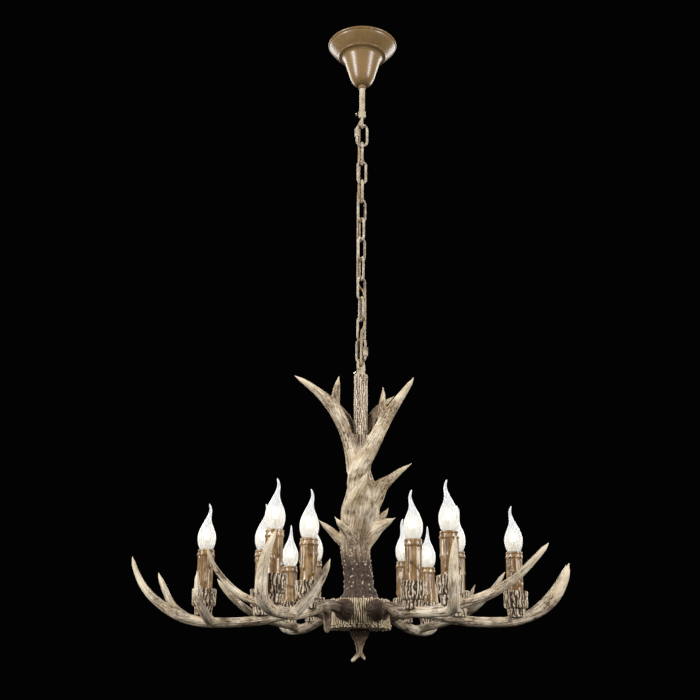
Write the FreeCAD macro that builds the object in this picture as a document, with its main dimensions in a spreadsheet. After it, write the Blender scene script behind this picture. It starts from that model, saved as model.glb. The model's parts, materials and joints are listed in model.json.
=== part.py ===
import FreeCAD, Part
import Sketcher
import math
import os

# Twelve-light antler chandelier on a chain. The origin is on the ceiling plane, over the middle of
# the fixture. Z points up, so the object hangs at negative heights. The front is the -Y side.
# Lengths are in millimetres.

SIZES = [
    ("canopy_radius", 77.0, "outer radius of the canopy rim"),
    ("canopy_height", 105.0, "rim to the bottom of the bell neck"),
    ("canopy_wall", 1.5, "sheet thickness of the canopy"),
    ("canopy_lip", 3.0, "height of the rolled lip"),
    ("canopy_step_depth", 31.0, "rim to the ring between dish and bell"),
    ("canopy_ring_radius", 51.3, "outer radius of that ring"),
    ("canopy_bell_radius", 44.5, "bell at its top"),
    ("strap_length", 104.0, "ceiling strap, end to end"),
    ("strap_width", 24.0, "ceiling strap, across"),
    ("strap_thickness", 2.5, "ceiling strap sheet"),
    ("strap_hole_radius", 2.6, "screw hole in the strap"),
    ("strap_hole_spacing", 80.0, "between the two screw holes"),
    ("boss_radius", 10.0, "threaded boss under the strap"),
    ("boss_height", 10.0, "depth of that boss"),
    ("tube_radius", 6.0, "down tube, outside"),
    ("tube_wall", 1.25, "down tube wall"),
    ("tube_drop", 182.0, "ceiling to the lower end of the tube"),
    ("tube_window_height", 26.0, "cable window in the tube wall"),
    ("tube_window_depth", 41.0, "ceiling to the middle of that window"),
    ("nut_height", 6.0, "lock nuts"),
    ("nut_across", 19.0, "lock nuts, across the flats"),
    ("collar_height", 8.0, "collar under the canopy"),
    ("collar_wall", 2.2, "wall of that collar"),
    ("loop_collar_radius", 8.5, "round collar of each loop"),
    ("loop_collar_height", 15.0, "top loop collar"),
    ("loop_insert", 10.0, "how far the tube goes into the top loop"),
    ("body_collar_height", 15.0, "body loop collar"),
    ("loop_half_width", 10.5, "middle of an eye to the middle of its wire"),
    ("wire_radius", 2.5, "wire of loops, quick links and chain"),
    ("eye_drop", 209.5, "ceiling to the middle of the eye's lower bar"),
    ("link_pitch", 45.5, "bar to bar of one chain link"),
    ("link_half_width", 9.0, "middle of a link to the middle of its leg"),
    ("quick_pitch", 46.7, "bar to bar of a quick link"),
    ("quick_half_width", 11.5, "middle of a quick link to the middle of its leg"),
    ("quick_gap", 5.5, "opening in the quick link's leg"),
    ("sleeve_nut_radius", 5.4, "quick link screw sleeve"),
    ("sleeve_nut_length", 18.0, "quick link screw sleeve"),
    ("hang_gap", 0.3, "air between hanging pieces"),
    ("slide_gap", 0.1, "air round a sliding piece"),
    ("fit_gap", 0.2, "air round a piece in its hole"),
    ("screw_radius", 2.0, "thumb and set screws"),
    ("thumb_head_radius", 5.0, "thumb screw head"),
    ("thumb_head_height", 3.0, "thumb screw head"),
    ("cable_radius", 2.4, "flex cable"),
    ("cable_bend", 9.0, "bend of the flex cable at a tube window"),
    ("stem_radius", 13.5, "bark stem cover"),
    ("stem_length", 129.0, "bark stem cover"),
    ("body_loop_rise", 33.0, "stem top to the upper bar of the body loop"),
    ("rod_radius", 5.0, "hollow rod through the fixture"),
    ("rod_wall", 1.2, "hollow rod wall"),
    ("trunk_length", 316.0, "antler trunk, stem seat to hub"),
    ("trunk_girth", 10.0, "unit of the trunk's radii"),
    ("hub_radius", 58.5, "hub drum"),
    ("hub_flat", 56.0, "axis to the flat seats for the arms"),
    ("hub_inside", 46.0, "axis to the flat inner walls of the hub"),
    ("hub_height", 55.0, "hub drum without its base"),
    ("hub_top", 8.0, "top plate of the hub"),
    ("base_height", 6.0, "beaded base plate"),
    ("bead_radius", 2.6, "bead round the base plate"),
    ("finial_length", 60.0, "forked finial under the base"),
    ("bolt_radius", 3.0, "arm bolts"),
    ("bolt_head_radius", 5.0, "arm bolt heads"),
    ("bolt_head_height", 4.0, "arm bolt heads"),
    ("bolt_reach", 18.0, "how far a bolt goes into the arm"),
    ("outer_light_radius", 300.0, "axis to the outer lights"),
    ("inner_light_radius", 188.0, "axis to the inner lights"),
    ("arm_girth", 10.0, "unit of the arm radii"),
    ("root_rise", 26.0, "base of the hub drum to the middle of the arm roots"),
    ("foot_radius", 19.0, "foot under each cup"),
    ("foot_height", 16.0, "foot under each cup"),
    ("seat_rise", 34.0, "base of the hub drum to the cup seats"),
    ("cup_radius", 24.5, "bark cup at the brim"),
    ("cup_height", 33.0, "bark cup"),
    ("cup_floor", 6.0, "floor of the cup"),
    ("candle_radius", 15.0, "drip candle sleeve"),
    ("candle_wall", 2.0, "candle sleeve wall"),
    ("candle_visible", 75.0, "candle sleeve over the cup brim"),
    ("holder_radius", 12.4, "lamp holder head"),
    ("holder_head", 34.0, "lamp holder head, height"),
    ("holder_stem_radius", 8.0, "lamp holder stem"),
    ("nipple_radius", 4.8, "hollow nipple"),
    ("nipple_wall", 1.2, "hollow nipple wall"),
    ("nipple_depth", 14.0, "nipple below the cup seat"),
    ("nipple_rise", 16.0, "nipple above the cup seat"),
    ("bulb_radius", 17.7, "bulb at its widest"),
    ("bulb_height", 90.0, "bulb glass over the candle"),
    ("bulb_bend", 5.0, "how far the bulb tip bends aside"),
    ("glass_wall", 1.0, "bulb glass thickness"),
    ("cap_radius", 6.9, "bulb screw cap"),
    ("cap_height", 25.0, "bulb screw cap"),
]

doc = FreeCAD.newDocument("AntlerChandelier")
sheet = doc.addObject("Spreadsheet::Sheet", "Sizes")


class Size:
    """A length that knows both its value and its expression on the sheet."""

    def __init__(self, value, text):
        self.value = value
        self.text = text

    def __add__(self, other):
        other = as_size(other)
        return Size(self.value + other.value, "(%s + %s)" % (self.text, other.text))

    def __radd__(self, other):
        return as_size(other) + self

    def __sub__(self, other):
        other = as_size(other)
        return Size(self.value - other.value, "(%s - %s)" % (self.text, other.text))

    def __rsub__(self, other):
        return as_size(other) - self

    def __mul__(self, factor):
        factor = as_size(factor)
        return Size(self.value * factor.value, "(%s * %s)" % (self.text, factor.text))

    def __rmul__(self, factor):
        return self * factor

    def __neg__(self):
        return self * -1.0


def as_size(number):
    """Let a plain number stand in for a size."""
    if isinstance(number, Size):
        return number
    return Size(float(number), "%.6g" % number)


class Table:
    """The sheet's sizes by name."""


S = Table()
for row, (alias, value, note) in enumerate(SIZES, start=1):
    sheet.set("A%d" % row, note)
    sheet.set("B%d" % row, str(value))
    sheet.setAlias("B%d" % row, alias)
    setattr(S, alias, Size(value, "Sizes." + alias))
doc.recompute()

X = FreeCAD.Vector(1, 0, 0)
Y = FreeCAD.Vector(0, 1, 0)
Z = FreeCAD.Vector(0, 0, 1)


def vec(x, y, z):
    """A point from sizes or numbers."""
    return FreeCAD.Vector(as_size(x).value, as_size(y).value, as_size(z).value)


def bind(target, prop, size):
    """Tie one property of an object to the sheet."""
    target.setExpression(prop, as_size(size).text)


def place(target, x=0, y=0, z=0, rotation=None):
    """Turn an object, then tie its position to the sheet."""
    if rotation is not None:
        target.Placement = FreeCAD.Placement(FreeCAD.Vector(), rotation)
    bind(target, "Placement.Base.x", x)
    bind(target, "Placement.Base.y", y)
    bind(target, "Placement.Base.z", z)
    return target


def cylinder(name, radius, height, x=0, y=0, z=0, rotation=None):
    """An upright round bar that starts at the given height."""
    bar = doc.addObject("Part::Cylinder", name)
    bind(bar, "Radius", radius)
    bind(bar, "Height", height)
    return place(bar, x, y, z, rotation)


def box(name, length, width, height, x=0, y=0, z=0, rotation=None):
    """A block from its low corner."""
    block = doc.addObject("Part::Box", name)
    bind(block, "Length", length)
    bind(block, "Width", width)
    bind(block, "Height", height)
    return place(block, x, y, z, rotation)


def hexagon(name, across, height, z):
    """A hexagonal bar with flats at every sixth of a turn from +X."""
    bar = doc.addObject("Part::Prism", name)
    bar.Polygon = 6
    bind(bar, "Circumradius", across * (0.5 / math.cos(math.pi / 6)))
    bind(bar, "Height", height)
    return place(bar, z=z, rotation=FreeCAD.Rotation(Z, 30))


def fuse(name, pieces):
    """Join pieces to one solid."""
    joined = doc.addObject("Part::MultiFuse", name)
    joined.Shapes = pieces
    return joined


def cut(name, base, tools):
    """Take tools away from a base."""
    tool = tools[0]
    if len(tools) > 1:
        tool = fuse(name + "_cutters", tools)
    result = doc.addObject("Part::Cut", name)
    result.Base = base
    result.Tool = tool
    return result


def turned(name, points):
    """A turned piece: a closed outline of radius and height, spun about the vertical axis."""
    body = doc.addObject("PartDesign::Body", name)
    outline = body.newObject("Sketcher::SketchObject", name + "_outline")
    plane = [item for item in body.Origin.OriginFeatures if item.Role == "XZ_Plane"][0]
    outline.AttachmentSupport = (plane, [""])
    outline.MapMode = "FlatFace"
    count = len(points)
    corners = [vec(radius, height, 0) for radius, height in points]
    for index in range(count):
        outline.addGeometry(Part.LineSegment(corners[index], corners[(index + 1) % count]), False)
    for index in range(count):
        join = Sketcher.Constraint("Coincident", index, 2, (index + 1) % count, 1)
        outline.addConstraint(join)
    for index, (radius, height) in enumerate(points):
        radius = as_size(radius)
        height = as_size(height)
        if radius.value == 0:
            outline.addConstraint(Sketcher.Constraint("PointOnObject", index, 1, -2))
        else:
            along = Sketcher.Constraint("DistanceX", -1, 1, index, 1, radius.value)
            number = outline.addConstraint(along)
            bind(outline, "Constraints[%d]" % number, radius)
        up = Sketcher.Constraint("DistanceY", -1, 1, index, 1, height.value)
        number = outline.addConstraint(up)
        bind(outline, "Constraints[%d]" % number, height)
    spun = body.newObject("PartDesign::Revolution", name + "_spun")
    spun.Profile = outline
    spun.ReferenceAxis = (outline, ["V_Axis"])
    spun.Angle = 360
    body.Tip = spun
    return body


def tube(name, radius, bore, low, high):
    """A plain turned tube."""
    return turned(name, [(bore, low), (radius, low), (radius, high), (bore, high)])


def wire_bar(name, edges, radius):
    """Round wire along a path of lines and arcs."""
    path = Part.Wire(edges)
    start = path.OrderedEdges[0]
    tangent = start.tangentAt(start.FirstParameter)
    ring = Part.Wire([Part.makeCircle(radius, start.valueAt(start.FirstParameter), tangent)])
    bar = doc.addObject("Part::Feature", name)
    bar.Shape = path.makePipeShell([ring], True, False)
    return bar


def line(start, end):
    """A straight edge."""
    return Part.LineSegment(start, end).toShape()


def arc(start, middle, end):
    """A round edge through three points."""
    return Part.Arc(start, middle, end).toShape()


def limb(name, stations, girth):
    """An antler limb through round sections given as point and radius, in units of girth."""
    points = [point for point, ratio in stations]
    sections = []
    for index, (point, ratio) in enumerate(stations):
        ahead = points[min(index + 1, len(points) - 1)]
        behind = points[max(index - 1, 0)]
        section = doc.addObject("Part::Circle", "%s_section" % name)
        bind(section, "Radius", girth * ratio)
        section.Placement = FreeCAD.Placement(point, FreeCAD.Rotation(Z, ahead - behind))
        sections.append(section)
    skin = doc.addObject("Part::Loft", name)
    skin.Sections = sections
    skin.Solid = True
    skin.Ruled = False
    return skin


def solid_copies(name, master, placements):
    """Copies of one master as a single set of pieces."""
    doc.recompute()
    copies = []
    for placement in placements:
        copy = master.Shape.copy()
        copy.Placement = placement.multiply(copy.Placement)
        copies.append(copy)
    group = doc.addObject("Part::Feature", name)
    group.Shape = Part.makeCompound(copies) if len(copies) > 1 else copies[0]
    return group


nodes = {}

# Ceiling strap with a threaded boss for the tube, the lock nut under it, and the terminal block.
strap = box("strap", S.strap_length, S.strap_width, S.strap_thickness,
            S.strap_length * -0.5, S.strap_width * -0.5, -S.strap_thickness)
boss = cylinder("boss", S.boss_radius, S.boss_height, z=-S.strap_thickness - S.boss_height)
strap_body = fuse("strap_body", [strap, boss])
boss_bore = cylinder("boss_bore", S.tube_radius + S.slide_gap, S.boss_height,
                     z=-S.strap_thickness - S.boss_height)
hole_right = cylinder("hole_right", S.strap_hole_radius, S.strap_thickness,
                      x=S.strap_hole_spacing * 0.5, z=-S.strap_thickness)
hole_left = cylinder("hole_left", S.strap_hole_radius, S.strap_thickness,
                     x=S.strap_hole_spacing * -0.5, z=-S.strap_thickness)
nodes["ceiling_bracket"] = cut("ceiling_bracket", strap_body, [boss_bore, hole_right, hole_left])

boss_level = -S.strap_thickness - S.boss_height
nut_blank = hexagon("nut_blank", S.nut_across, S.nut_height, boss_level - S.nut_height)
nut_bore = cylinder("nut_bore", S.tube_radius + S.slide_gap, S.nut_height, z=boss_level - S.nut_height)
nodes["lock_nut"] = cut("lock_nut", nut_blank, [nut_bore])

TERMINAL_X = 26.0
terminal_blank = box("terminal_blank", 16, 20, 14, TERMINAL_X - 8, -10, -S.strap_thickness - 14)
entry = cylinder("terminal_entry", S.cable_radius + S.fit_gap, 8, x=TERMINAL_X, z=-S.strap_thickness - 14)
entry_front = cylinder("terminal_entry_front", 1.6, 8, x=TERMINAL_X, y=-6.5, z=-S.strap_thickness - 14)
entry_rear = cylinder("terminal_entry_rear", 1.6, 8, x=TERMINAL_X, y=6.5, z=-S.strap_thickness - 14)
nodes["terminal_block"] = cut("terminal_block", terminal_blank, [entry, entry_front, entry_rear])

# Down tube with a window where the cable leaves it inside the canopy.
tube_blank = tube("tube_blank", S.tube_radius, S.tube_radius - S.tube_wall,
                  -S.tube_drop, -S.strap_thickness)
window_width = S.cable_radius * 2 + 1.0
tube_window = box("tube_window", S.tube_radius + 2, window_width, S.tube_window_height,
                  0, window_width * -0.5, -S.tube_window_depth - S.tube_window_height * 0.5)
nodes["down_tube"] = cut("down_tube", tube_blank, [tube_window])


# Canopy: a flat cone with a rolled lip, a ledge, and a bell with a hole for the tube.
BELL = [(0.157, 0.88), (0.271, 0.827), (0.436, 0.742), (0.707, 0.616), (0.903, 0.461)]


def bell_outline(inset):
    """Half the canopy's outline, from the rim in to the tube hole, moved in by the inset."""
    rim = S.canopy_radius.value - inset
    ring = S.canopy_ring_radius.value - inset
    step = -S.canopy_step_depth.value + inset * 0.5
    bottom = -S.canopy_height.value + inset
    hole = S.tube_radius.value + S.hang_gap.value
    ledge = step - 4.0
    top = FreeCAD.Vector(rim, 0, 0)
    lip = FreeCAD.Vector(rim, 0, -S.canopy_lip.value)
    ridge = FreeCAD.Vector(ring, 0, step)
    dish = (lip + ridge) * 0.5 + FreeCAD.Vector(0.9, 0, -0.9)
    bends = [FreeCAD.Vector(S.canopy_bell_radius.value - inset, 0, ledge)]
    for share, ratio in BELL:
        radius = S.canopy_bell_radius.value * ratio - inset
        bends.append(FreeCAD.Vector(radius, 0, ledge + (bottom - ledge) * share))
    low = bends[-1]
    turn = FreeCAD.Vector(low.x * 0.81, 0, bottom + 2.7)
    foot = FreeCAD.Vector(low.x * 0.56, 0, bottom)
    mouth = FreeCAD.Vector(hole, 0, bottom)
    bell = Part.BSplineCurve()
    bell.interpolate(bends)
    return [line(top, lip), arc(lip, dish, ridge), line(ridge, bends[0]), bell.toShape(),
            arc(low, turn, foot), line(foot, mouth)]


outside = bell_outline(0.0)
inside = bell_outline(S.canopy_wall.value)
rim_edge = line(outside[0].Vertexes[0].Point, inside[0].Vertexes[0].Point)
mouth_edge = line(outside[-1].Vertexes[-1].Point, inside[-1].Vertexes[-1].Point)
bell_wire = Part.Wire(Part.__sortEdges__(outside + [mouth_edge] + inside + [rim_edge]))
canopy = doc.addObject("Part::Feature", "canopy")
canopy.Shape = Part.Face(bell_wire).revolve(FreeCAD.Vector(), Z, 360)
nodes["canopy"] = canopy

# Collar that carries the canopy on the tube, and its set screw at the front right.
collar_low = -S.canopy_height - S.collar_height
collar_middle = -S.canopy_height - S.collar_height * 0.5
collar_blank = tube("collar_blank", S.tube_radius + S.slide_gap + S.collar_wall,
                    S.tube_radius + S.slide_gap, collar_low, -S.canopy_height)
COLLAR_SCREW_TURN = -50
FRONT_RIGHT = FreeCAD.Rotation(Z, COLLAR_SCREW_TURN).multiply(FreeCAD.Rotation(Y, 90))
collar_hole = cylinder("collar_hole", S.screw_radius, 20, z=collar_middle, rotation=FRONT_RIGHT)
nodes["canopy_collar"] = cut("canopy_collar", collar_blank, [collar_hole])
screw_start = S.tube_radius + S.slide_gap
screw_x = screw_start * math.cos(math.radians(COLLAR_SCREW_TURN))
screw_y = screw_start * math.sin(math.radians(COLLAR_SCREW_TURN))
set_screw = cylinder("set_screw", S.screw_radius - 0.02, S.collar_wall + 1.2,
                     screw_x, screw_y, collar_middle, FRONT_RIGHT)
nodes["collar_screw"] = set_screw


# Loops: a round collar with a wire eye. The eye of the top loop hangs down in the YZ plane.
def eye(name, base_level, bar_level, side):
    """A wire arch from its collar to its bar, in the plane of the side direction and Z."""
    reach = S.loop_half_width.value
    sign = 1 if bar_level.value > base_level.value else -1
    centre = Z * (bar_level.value - sign * reach)
    base = Z * base_level.value
    edges = [line(base + side * reach, centre + side * reach),
             arc(centre + side * reach, centre + Z * (sign * reach), centre - side * reach),
             line(centre - side * reach, base - side * reach)]
    return wire_bar(name, edges, S.wire_radius.value)


loop_top = -S.tube_drop + S.loop_insert
loop_low = loop_top - S.loop_collar_height
eye_spread = S.loop_half_width + S.wire_radius
loop_sleeve = tube("loop_sleeve", S.loop_collar_radius, S.tube_radius + S.slide_gap, -S.tube_drop, loop_top)
loop_floor = tube("loop_floor", S.loop_collar_radius, S.cable_radius + 1.2, loop_low, -S.tube_drop)
loop_bridge = box("loop_bridge", S.wire_radius * 2, eye_spread * 2, 4,
                  -S.wire_radius, -eye_spread, loop_low)
bridge_bore = cylinder("bridge_bore", S.cable_radius + 1.2, 6, z=loop_low - 1)
bridge = cut("bridge", loop_bridge, [bridge_bore])
top_eye = eye("top_eye", loop_low + 0.5, -S.eye_drop, Y)
loop_blank = fuse("loop_blank", [loop_sleeve, loop_floor, bridge, top_eye])
TOP_SCREW_TURN = 180
BODY_SCREW_TURN = 160


def outward(turn):
    """Rotation that lays an upright bar outward at this turn about Z."""
    return FreeCAD.Rotation(Z, turn).multiply(FreeCAD.Rotation(Y, 90))


top_screw_level = loop_top - S.loop_insert * 0.5
top_screw_hole = cylinder("top_screw_hole", S.screw_radius, 12, z=top_screw_level,
                          rotation=outward(TOP_SCREW_TURN))
nodes["top_loop"] = cut("top_loop", loop_blank, [top_screw_hole])


def thumb_screw(name, level, start, turn):
    """A thumb screw with a flat round head, outward at this turn about Z."""
    east = math.cos(math.radians(turn))
    north = math.sin(math.radians(turn))
    head_start = S.loop_collar_radius + 3.0
    shank = cylinder(name + "_shank", S.screw_radius - S.slide_gap, head_start - start,
                     start * east, start * north, level, outward(turn))
    head = cylinder(name + "_head", S.thumb_head_radius, S.thumb_head_height,
                    head_start * east, head_start * north, level, outward(turn))
    return fuse(name, [shank, head])


nodes["top_loop_screw"] = thumb_screw("top_loop_screw", top_screw_level, S.tube_radius + S.slide_gap,
                                      TOP_SCREW_TURN)

# Chain: a quick link at each end and ten welded links between, each turned about a quarter to the
# next. Every piece hangs with its upper bow over the lower bar of the piece above.
TOP_QUICK_TURN = 8
LINK_TURNS = [96, 10, 100, 34, 122, 42, 118, 36, 114, 36]
BOTTOM_QUICK_TURN = 140
ARCH_TURN = 54


def loop_path(length, half, gap_low=None, gap_high=None):
    """Path of a long ring in the XZ plane whose upper inside is at zero height."""
    radius = S.wire_radius.value
    top = -half + radius
    bottom = -length + half - radius
    right_top = FreeCAD.Vector(half, 0, top)
    left_top = FreeCAD.Vector(-half, 0, top)
    right_low = FreeCAD.Vector(half, 0, bottom)
    left_low = FreeCAD.Vector(-half, 0, bottom)
    upper = arc(left_top, FreeCAD.Vector(0, 0, top + half), right_top)
    lower = arc(right_low, FreeCAD.Vector(0, 0, bottom - half), left_low)
    right = line(right_top, right_low)
    if gap_low is None:
        return [upper, right, lower, line(left_low, left_top)]
    left_start = FreeCAD.Vector(-half, 0, gap_high)
    left_end = FreeCAD.Vector(-half, 0, gap_low)
    return [line(left_start, left_top), upper, right, lower, line(left_low, left_end)]


bar_lift = S.wire_radius + S.hang_gap
link_inside = S.link_pitch + S.hang_gap
quick_inside = S.quick_pitch + S.hang_gap
link_master = wire_bar("link_master", loop_path(link_inside.value, S.link_half_width.value),
                       S.wire_radius.value)


def quick_ring(name, gap_low):
    """A quick link with its opening in the left leg from this height up."""
    edges = loop_path(quick_inside.value, S.quick_half_width.value, gap_low.value,
                      (gap_low + S.quick_gap).value)
    return wire_bar(name, edges, S.wire_radius.value)


def screw_sleeve(name, low):
    """The sleeve that closes a quick link, from this height up."""
    return tube(name, S.sleeve_nut_radius, S.wire_radius + S.slide_gap, low, low + S.sleeve_nut_length)


leg_top = -S.quick_half_width + S.wire_radius
leg_low = -quick_inside + S.quick_half_width - S.wire_radius
upper_quick = quick_ring("upper_quick", leg_top - 2.0 - S.quick_gap)
upper_nut = screw_sleeve("upper_nut", leg_top - 0.5 - S.sleeve_nut_length)
lower_quick = quick_ring("lower_quick", leg_low + 2.0)
lower_nut = screw_sleeve("lower_nut", leg_low + 0.5)


def hung(level, turn, aside=0.0):
    """Placement of a hanging piece under the bar at this level, turned about Z."""
    spin = FreeCAD.Rotation(Z, turn)
    return FreeCAD.Placement(Z * (level + bar_lift).value + spin.multVec(X * aside), spin)


bar_level = -S.eye_drop
left_leg = -S.quick_half_width.value
nodes["top_quick_link"] = solid_copies("top_quick_link", upper_quick, [hung(bar_level, TOP_QUICK_TURN)])
nodes["top_link_sleeve"] = solid_copies("top_link_sleeve", upper_nut,
                                        [hung(bar_level, TOP_QUICK_TURN, left_leg)])
bar_level = bar_level - S.quick_pitch
for number, turn in enumerate(LINK_TURNS, start=1):
    label = "chain_link_%02d" % number
    nodes[label] = solid_copies(label, link_master, [hung(bar_level, turn)])
    bar_level = bar_level - S.link_pitch
nodes["bottom_quick_link"] = solid_copies("bottom_quick_link", lower_quick, [hung(bar_level, BOTTOM_QUICK_TURN)])
nodes["bottom_link_sleeve"] = solid_copies("bottom_link_sleeve", lower_nut,
                                           [hung(bar_level, BOTTOM_QUICK_TURN, left_leg)])
bar_level = bar_level - S.quick_pitch

# Body loop: its arch hangs on the lower quick link and its collar screws on the hollow rod.
arch_level = bar_level + S.wire_radius * 2 + S.hang_gap
stem_top = arch_level - S.body_loop_rise
body_collar_top = stem_top + S.body_collar_height
body_sleeve = tube("body_sleeve", S.loop_collar_radius, S.rod_radius + S.slide_gap, stem_top, body_collar_top)
body_flange = tube("body_flange", S.loop_collar_radius + 1.5, S.rod_radius + S.slide_gap, stem_top,
                   stem_top + 2.5)
arch_east = math.cos(math.radians(ARCH_TURN))
arch_north = math.sin(math.radians(ARCH_TURN))
arch_bridge = box("arch_bridge", eye_spread * 2, S.wire_radius * 2, 4,
                  S.wire_radius * arch_north - eye_spread * arch_east,
                  eye_spread * -arch_north - S.wire_radius * arch_east,
                  body_collar_top - 4, FreeCAD.Rotation(Z, ARCH_TURN))
arch_bore = cylinder("arch_bore", S.rod_radius + S.slide_gap, 6, z=body_collar_top - 5)
arch_bar = cut("arch_bar", arch_bridge, [arch_bore])
body_eye = eye("body_eye", body_collar_top - 1.0, arch_level, FreeCAD.Vector(arch_east, arch_north, 0))
body_blank = fuse("body_blank", [body_sleeve, body_flange, arch_bar, body_eye])
body_screw_level = stem_top + S.thumb_head_radius + 0.6
body_screw_hole = cylinder("body_screw_hole", S.screw_radius, 16, z=body_screw_level,
                           rotation=outward(BODY_SCREW_TURN))
nodes["body_loop"] = cut("body_loop", body_blank, [body_screw_hole])
nodes["body_loop_screw"] = thumb_screw("body_loop_screw", body_screw_level, S.rod_radius + S.slide_gap,
                                       BODY_SCREW_TURN)

# Stem cover and the levels of the fixture below it.
stem_low = stem_top - S.stem_length
hub_level = stem_low - S.trunk_length
drum_low = hub_level - S.hub_height
base_low = drum_low - S.base_height
seat_level = drum_low + S.seat_rise
root_level = drum_low + S.root_rise
nodes["stem_cover"] = tube("stem_cover", S.stem_radius, S.rod_radius + S.fit_gap, stem_low, stem_top)

# Hollow rod with a cable window inside the hub, and the nut that clamps the hub's top plate.
rod_top = body_collar_top - 2.0
rod_low = base_low - 9.0
rod_blank = tube("rod_blank", S.rod_radius, S.rod_radius - S.rod_wall, rod_low, rod_top)
rod_window_level = drum_low + 18.0
rod_window = box("rod_window", S.rod_radius + 2, window_width, S.tube_window_height,
                 0, window_width * -0.5, drum_low + 2.0)
nodes["centre_rod"] = cut("centre_rod", rod_blank, [rod_window])
plate_level = hub_level - S.hub_top
rod_nut_blank = hexagon("rod_nut_blank", S.nut_across, S.nut_height, plate_level - S.nut_height)
rod_nut_bore = cylinder("rod_nut_bore", S.rod_radius + S.slide_gap, S.nut_height, z=plate_level - S.nut_height)
nodes["rod_nut"] = cut("rod_nut", rod_nut_blank, [rod_nut_bore])


# Antler trunk: a burred column with forks and spurs at the top and tines on its sides. Rows give x,
# y, height over the hub and radius ratio; heights over the saddle count from the stem's lower end.
TRUNK_SADDLE = 316.0
TRUNK = {
    "column": [(-1, 0, 0, 3.6), (-1, 0, 5, 3.4), (-2, 0, 12, 2.95), (-3.5, 0, 44, 2.75), (-8, 0, 74, 2.8),
               (-9, 0, 105, 3.0), (-3, 0, 140, 3.6), (0, 0, 165, 3.8), (3, 0, 195, 3.3), (1, 0, 226, 2.5),
               (-2, 0, 246, 2.2), (0, 0, 280, 2.4), (1, 0, 316, 2.4)],
    "fork_right": [(-14, -14, 214, 1.5), (-3, -19, 245, 1.75), (14, -18, 278, 1.7), (28, -16, 305, 1.5),
                   (48, -14, 345, 1.3), (70, -13, 381, 1.0), (90, -13, 410, 0.7), (104, -12, 431, 0.4),
                   (108, -12, 439, 0.1)],
    "fork_left": [(-12, -10, 240, 1.5), (-17, -14, 278, 1.45), (-27, -14, 312, 1.25), (-40, -14, 345, 1.3),
                  (-57, -13, 375, 1.35), (-83, -13, 401, 0.95), (-109, -12, 422, 0.65), (-131, -11, 437, 0.32),
                  (-136, -11, 440, 0.08)],
    "tip_left": [(-52, -12, 362, 1.1), (-52, -12, 382, 0.95), (-49.5, -12, 411, 0.72), (-46.7, -12, 428, 0.42),
                 (-44.8, -12, 440, 0.1)],
    "tip_right": [(44, -12, 350, 1.0), (43, -12, 374, 0.75), (45, -12, 396, 0.5), (45.3, -12, 408, 0.32),
                  (45, -12, 417, 0.08)],
    "spur_left": [(-6, 8, 286, 1.5), (-14, 16, 318, 1.15), (-27, 24, 357, 0.95), (-40, 30, 379, 0.7),
                  (-52, 35, 397, 0.3), (-53, 35.5, 399, 0.08)],
    "spur_right": [(5, 8, 286, 1.5), (10, 16, 320, 1.2), (24, 24, 363, 0.95), (42, 30, 387, 0.75),
                   (60, 33, 403, 0.4), (69, 34, 410, 0.15), (70, 34, 411, 0.08)],
    "tine_high": [(-25, -20, 150, 1.5), (-16, -28, 175, 1.4), (-6, -33, 195, 1.15), (5.5, -38, 219, 0.72),
                  (12, -41, 231, 0.35), (14, -42, 236, 0.08)],
    "tine_middle": [(10, -4, 168, 2.4), (25, -6, 189, 2.1), (41, -10, 213, 1.5), (60.5, -14, 228, 0.93),
                    (79, -16, 243, 0.58), (97, -16, 255, 0.25), (102, -16, 259, 0.08)],
    "tine_right": [(6, -6, 106, 2.1), (18, -9, 120, 1.9), (31, -13, 131, 1.55), (46, -17, 138, 0.95),
                   (59, -20, 144, 0.55), (67, -20, 148.5, 0.2), (69, -20, 149.5, 0.08)],
    "tine_left": [(-12, -3, 84, 1.6), (-30, -4, 102, 1.2), (-45.5, -7, 113.5, 0.9), (-61, -10, 128, 0.65),
                  (-74, -10, 138.5, 0.4), (-80.5, -10, 144.5, 0.15), (-81.5, -10, 145.5, 0.08)],
    "tine_front": [(-4, -12, 92, 1.4), (-25.5, -32, 117.5, 1.0), (-40, -37, 135, 0.6), (-49, -38, 146, 0.25),
                   (-50.5, -38, 148, 0.08)],
    "tine_rear": [(14, 8, 116, 1.3), (43, 22, 157, 0.75), (52, 26, 169, 0.45), (56.5, 28, 177, 0.08)],
}


def trunk_level(rise):
    """Height of a trunk row: the forks keep their place at the stem when the trunk grows."""
    if rise > TRUNK_SADDLE:
        return stem_low + (rise - TRUNK_SADDLE)
    return hub_level + S.trunk_length * (rise / TRUNK_SADDLE)


trunk_limbs = []
for label, stations in TRUNK.items():
    rows = [(vec(x, y, trunk_level(rise)), ratio) for x, y, rise, ratio in stations]
    trunk_limbs.append(limb(label, rows, S.trunk_girth))
trunk_blank = fuse("trunk_blank", trunk_limbs)
trunk_bore = cylinder("trunk_bore", S.rod_radius + S.fit_gap, S.trunk_length + 20, z=hub_level - 10)
stem_pocket = cylinder("stem_pocket", S.stem_radius + 1.2, S.stem_length, z=stem_low)
nodes["trunk"] = cut("trunk", trunk_blank, [trunk_bore, stem_pocket])

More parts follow.
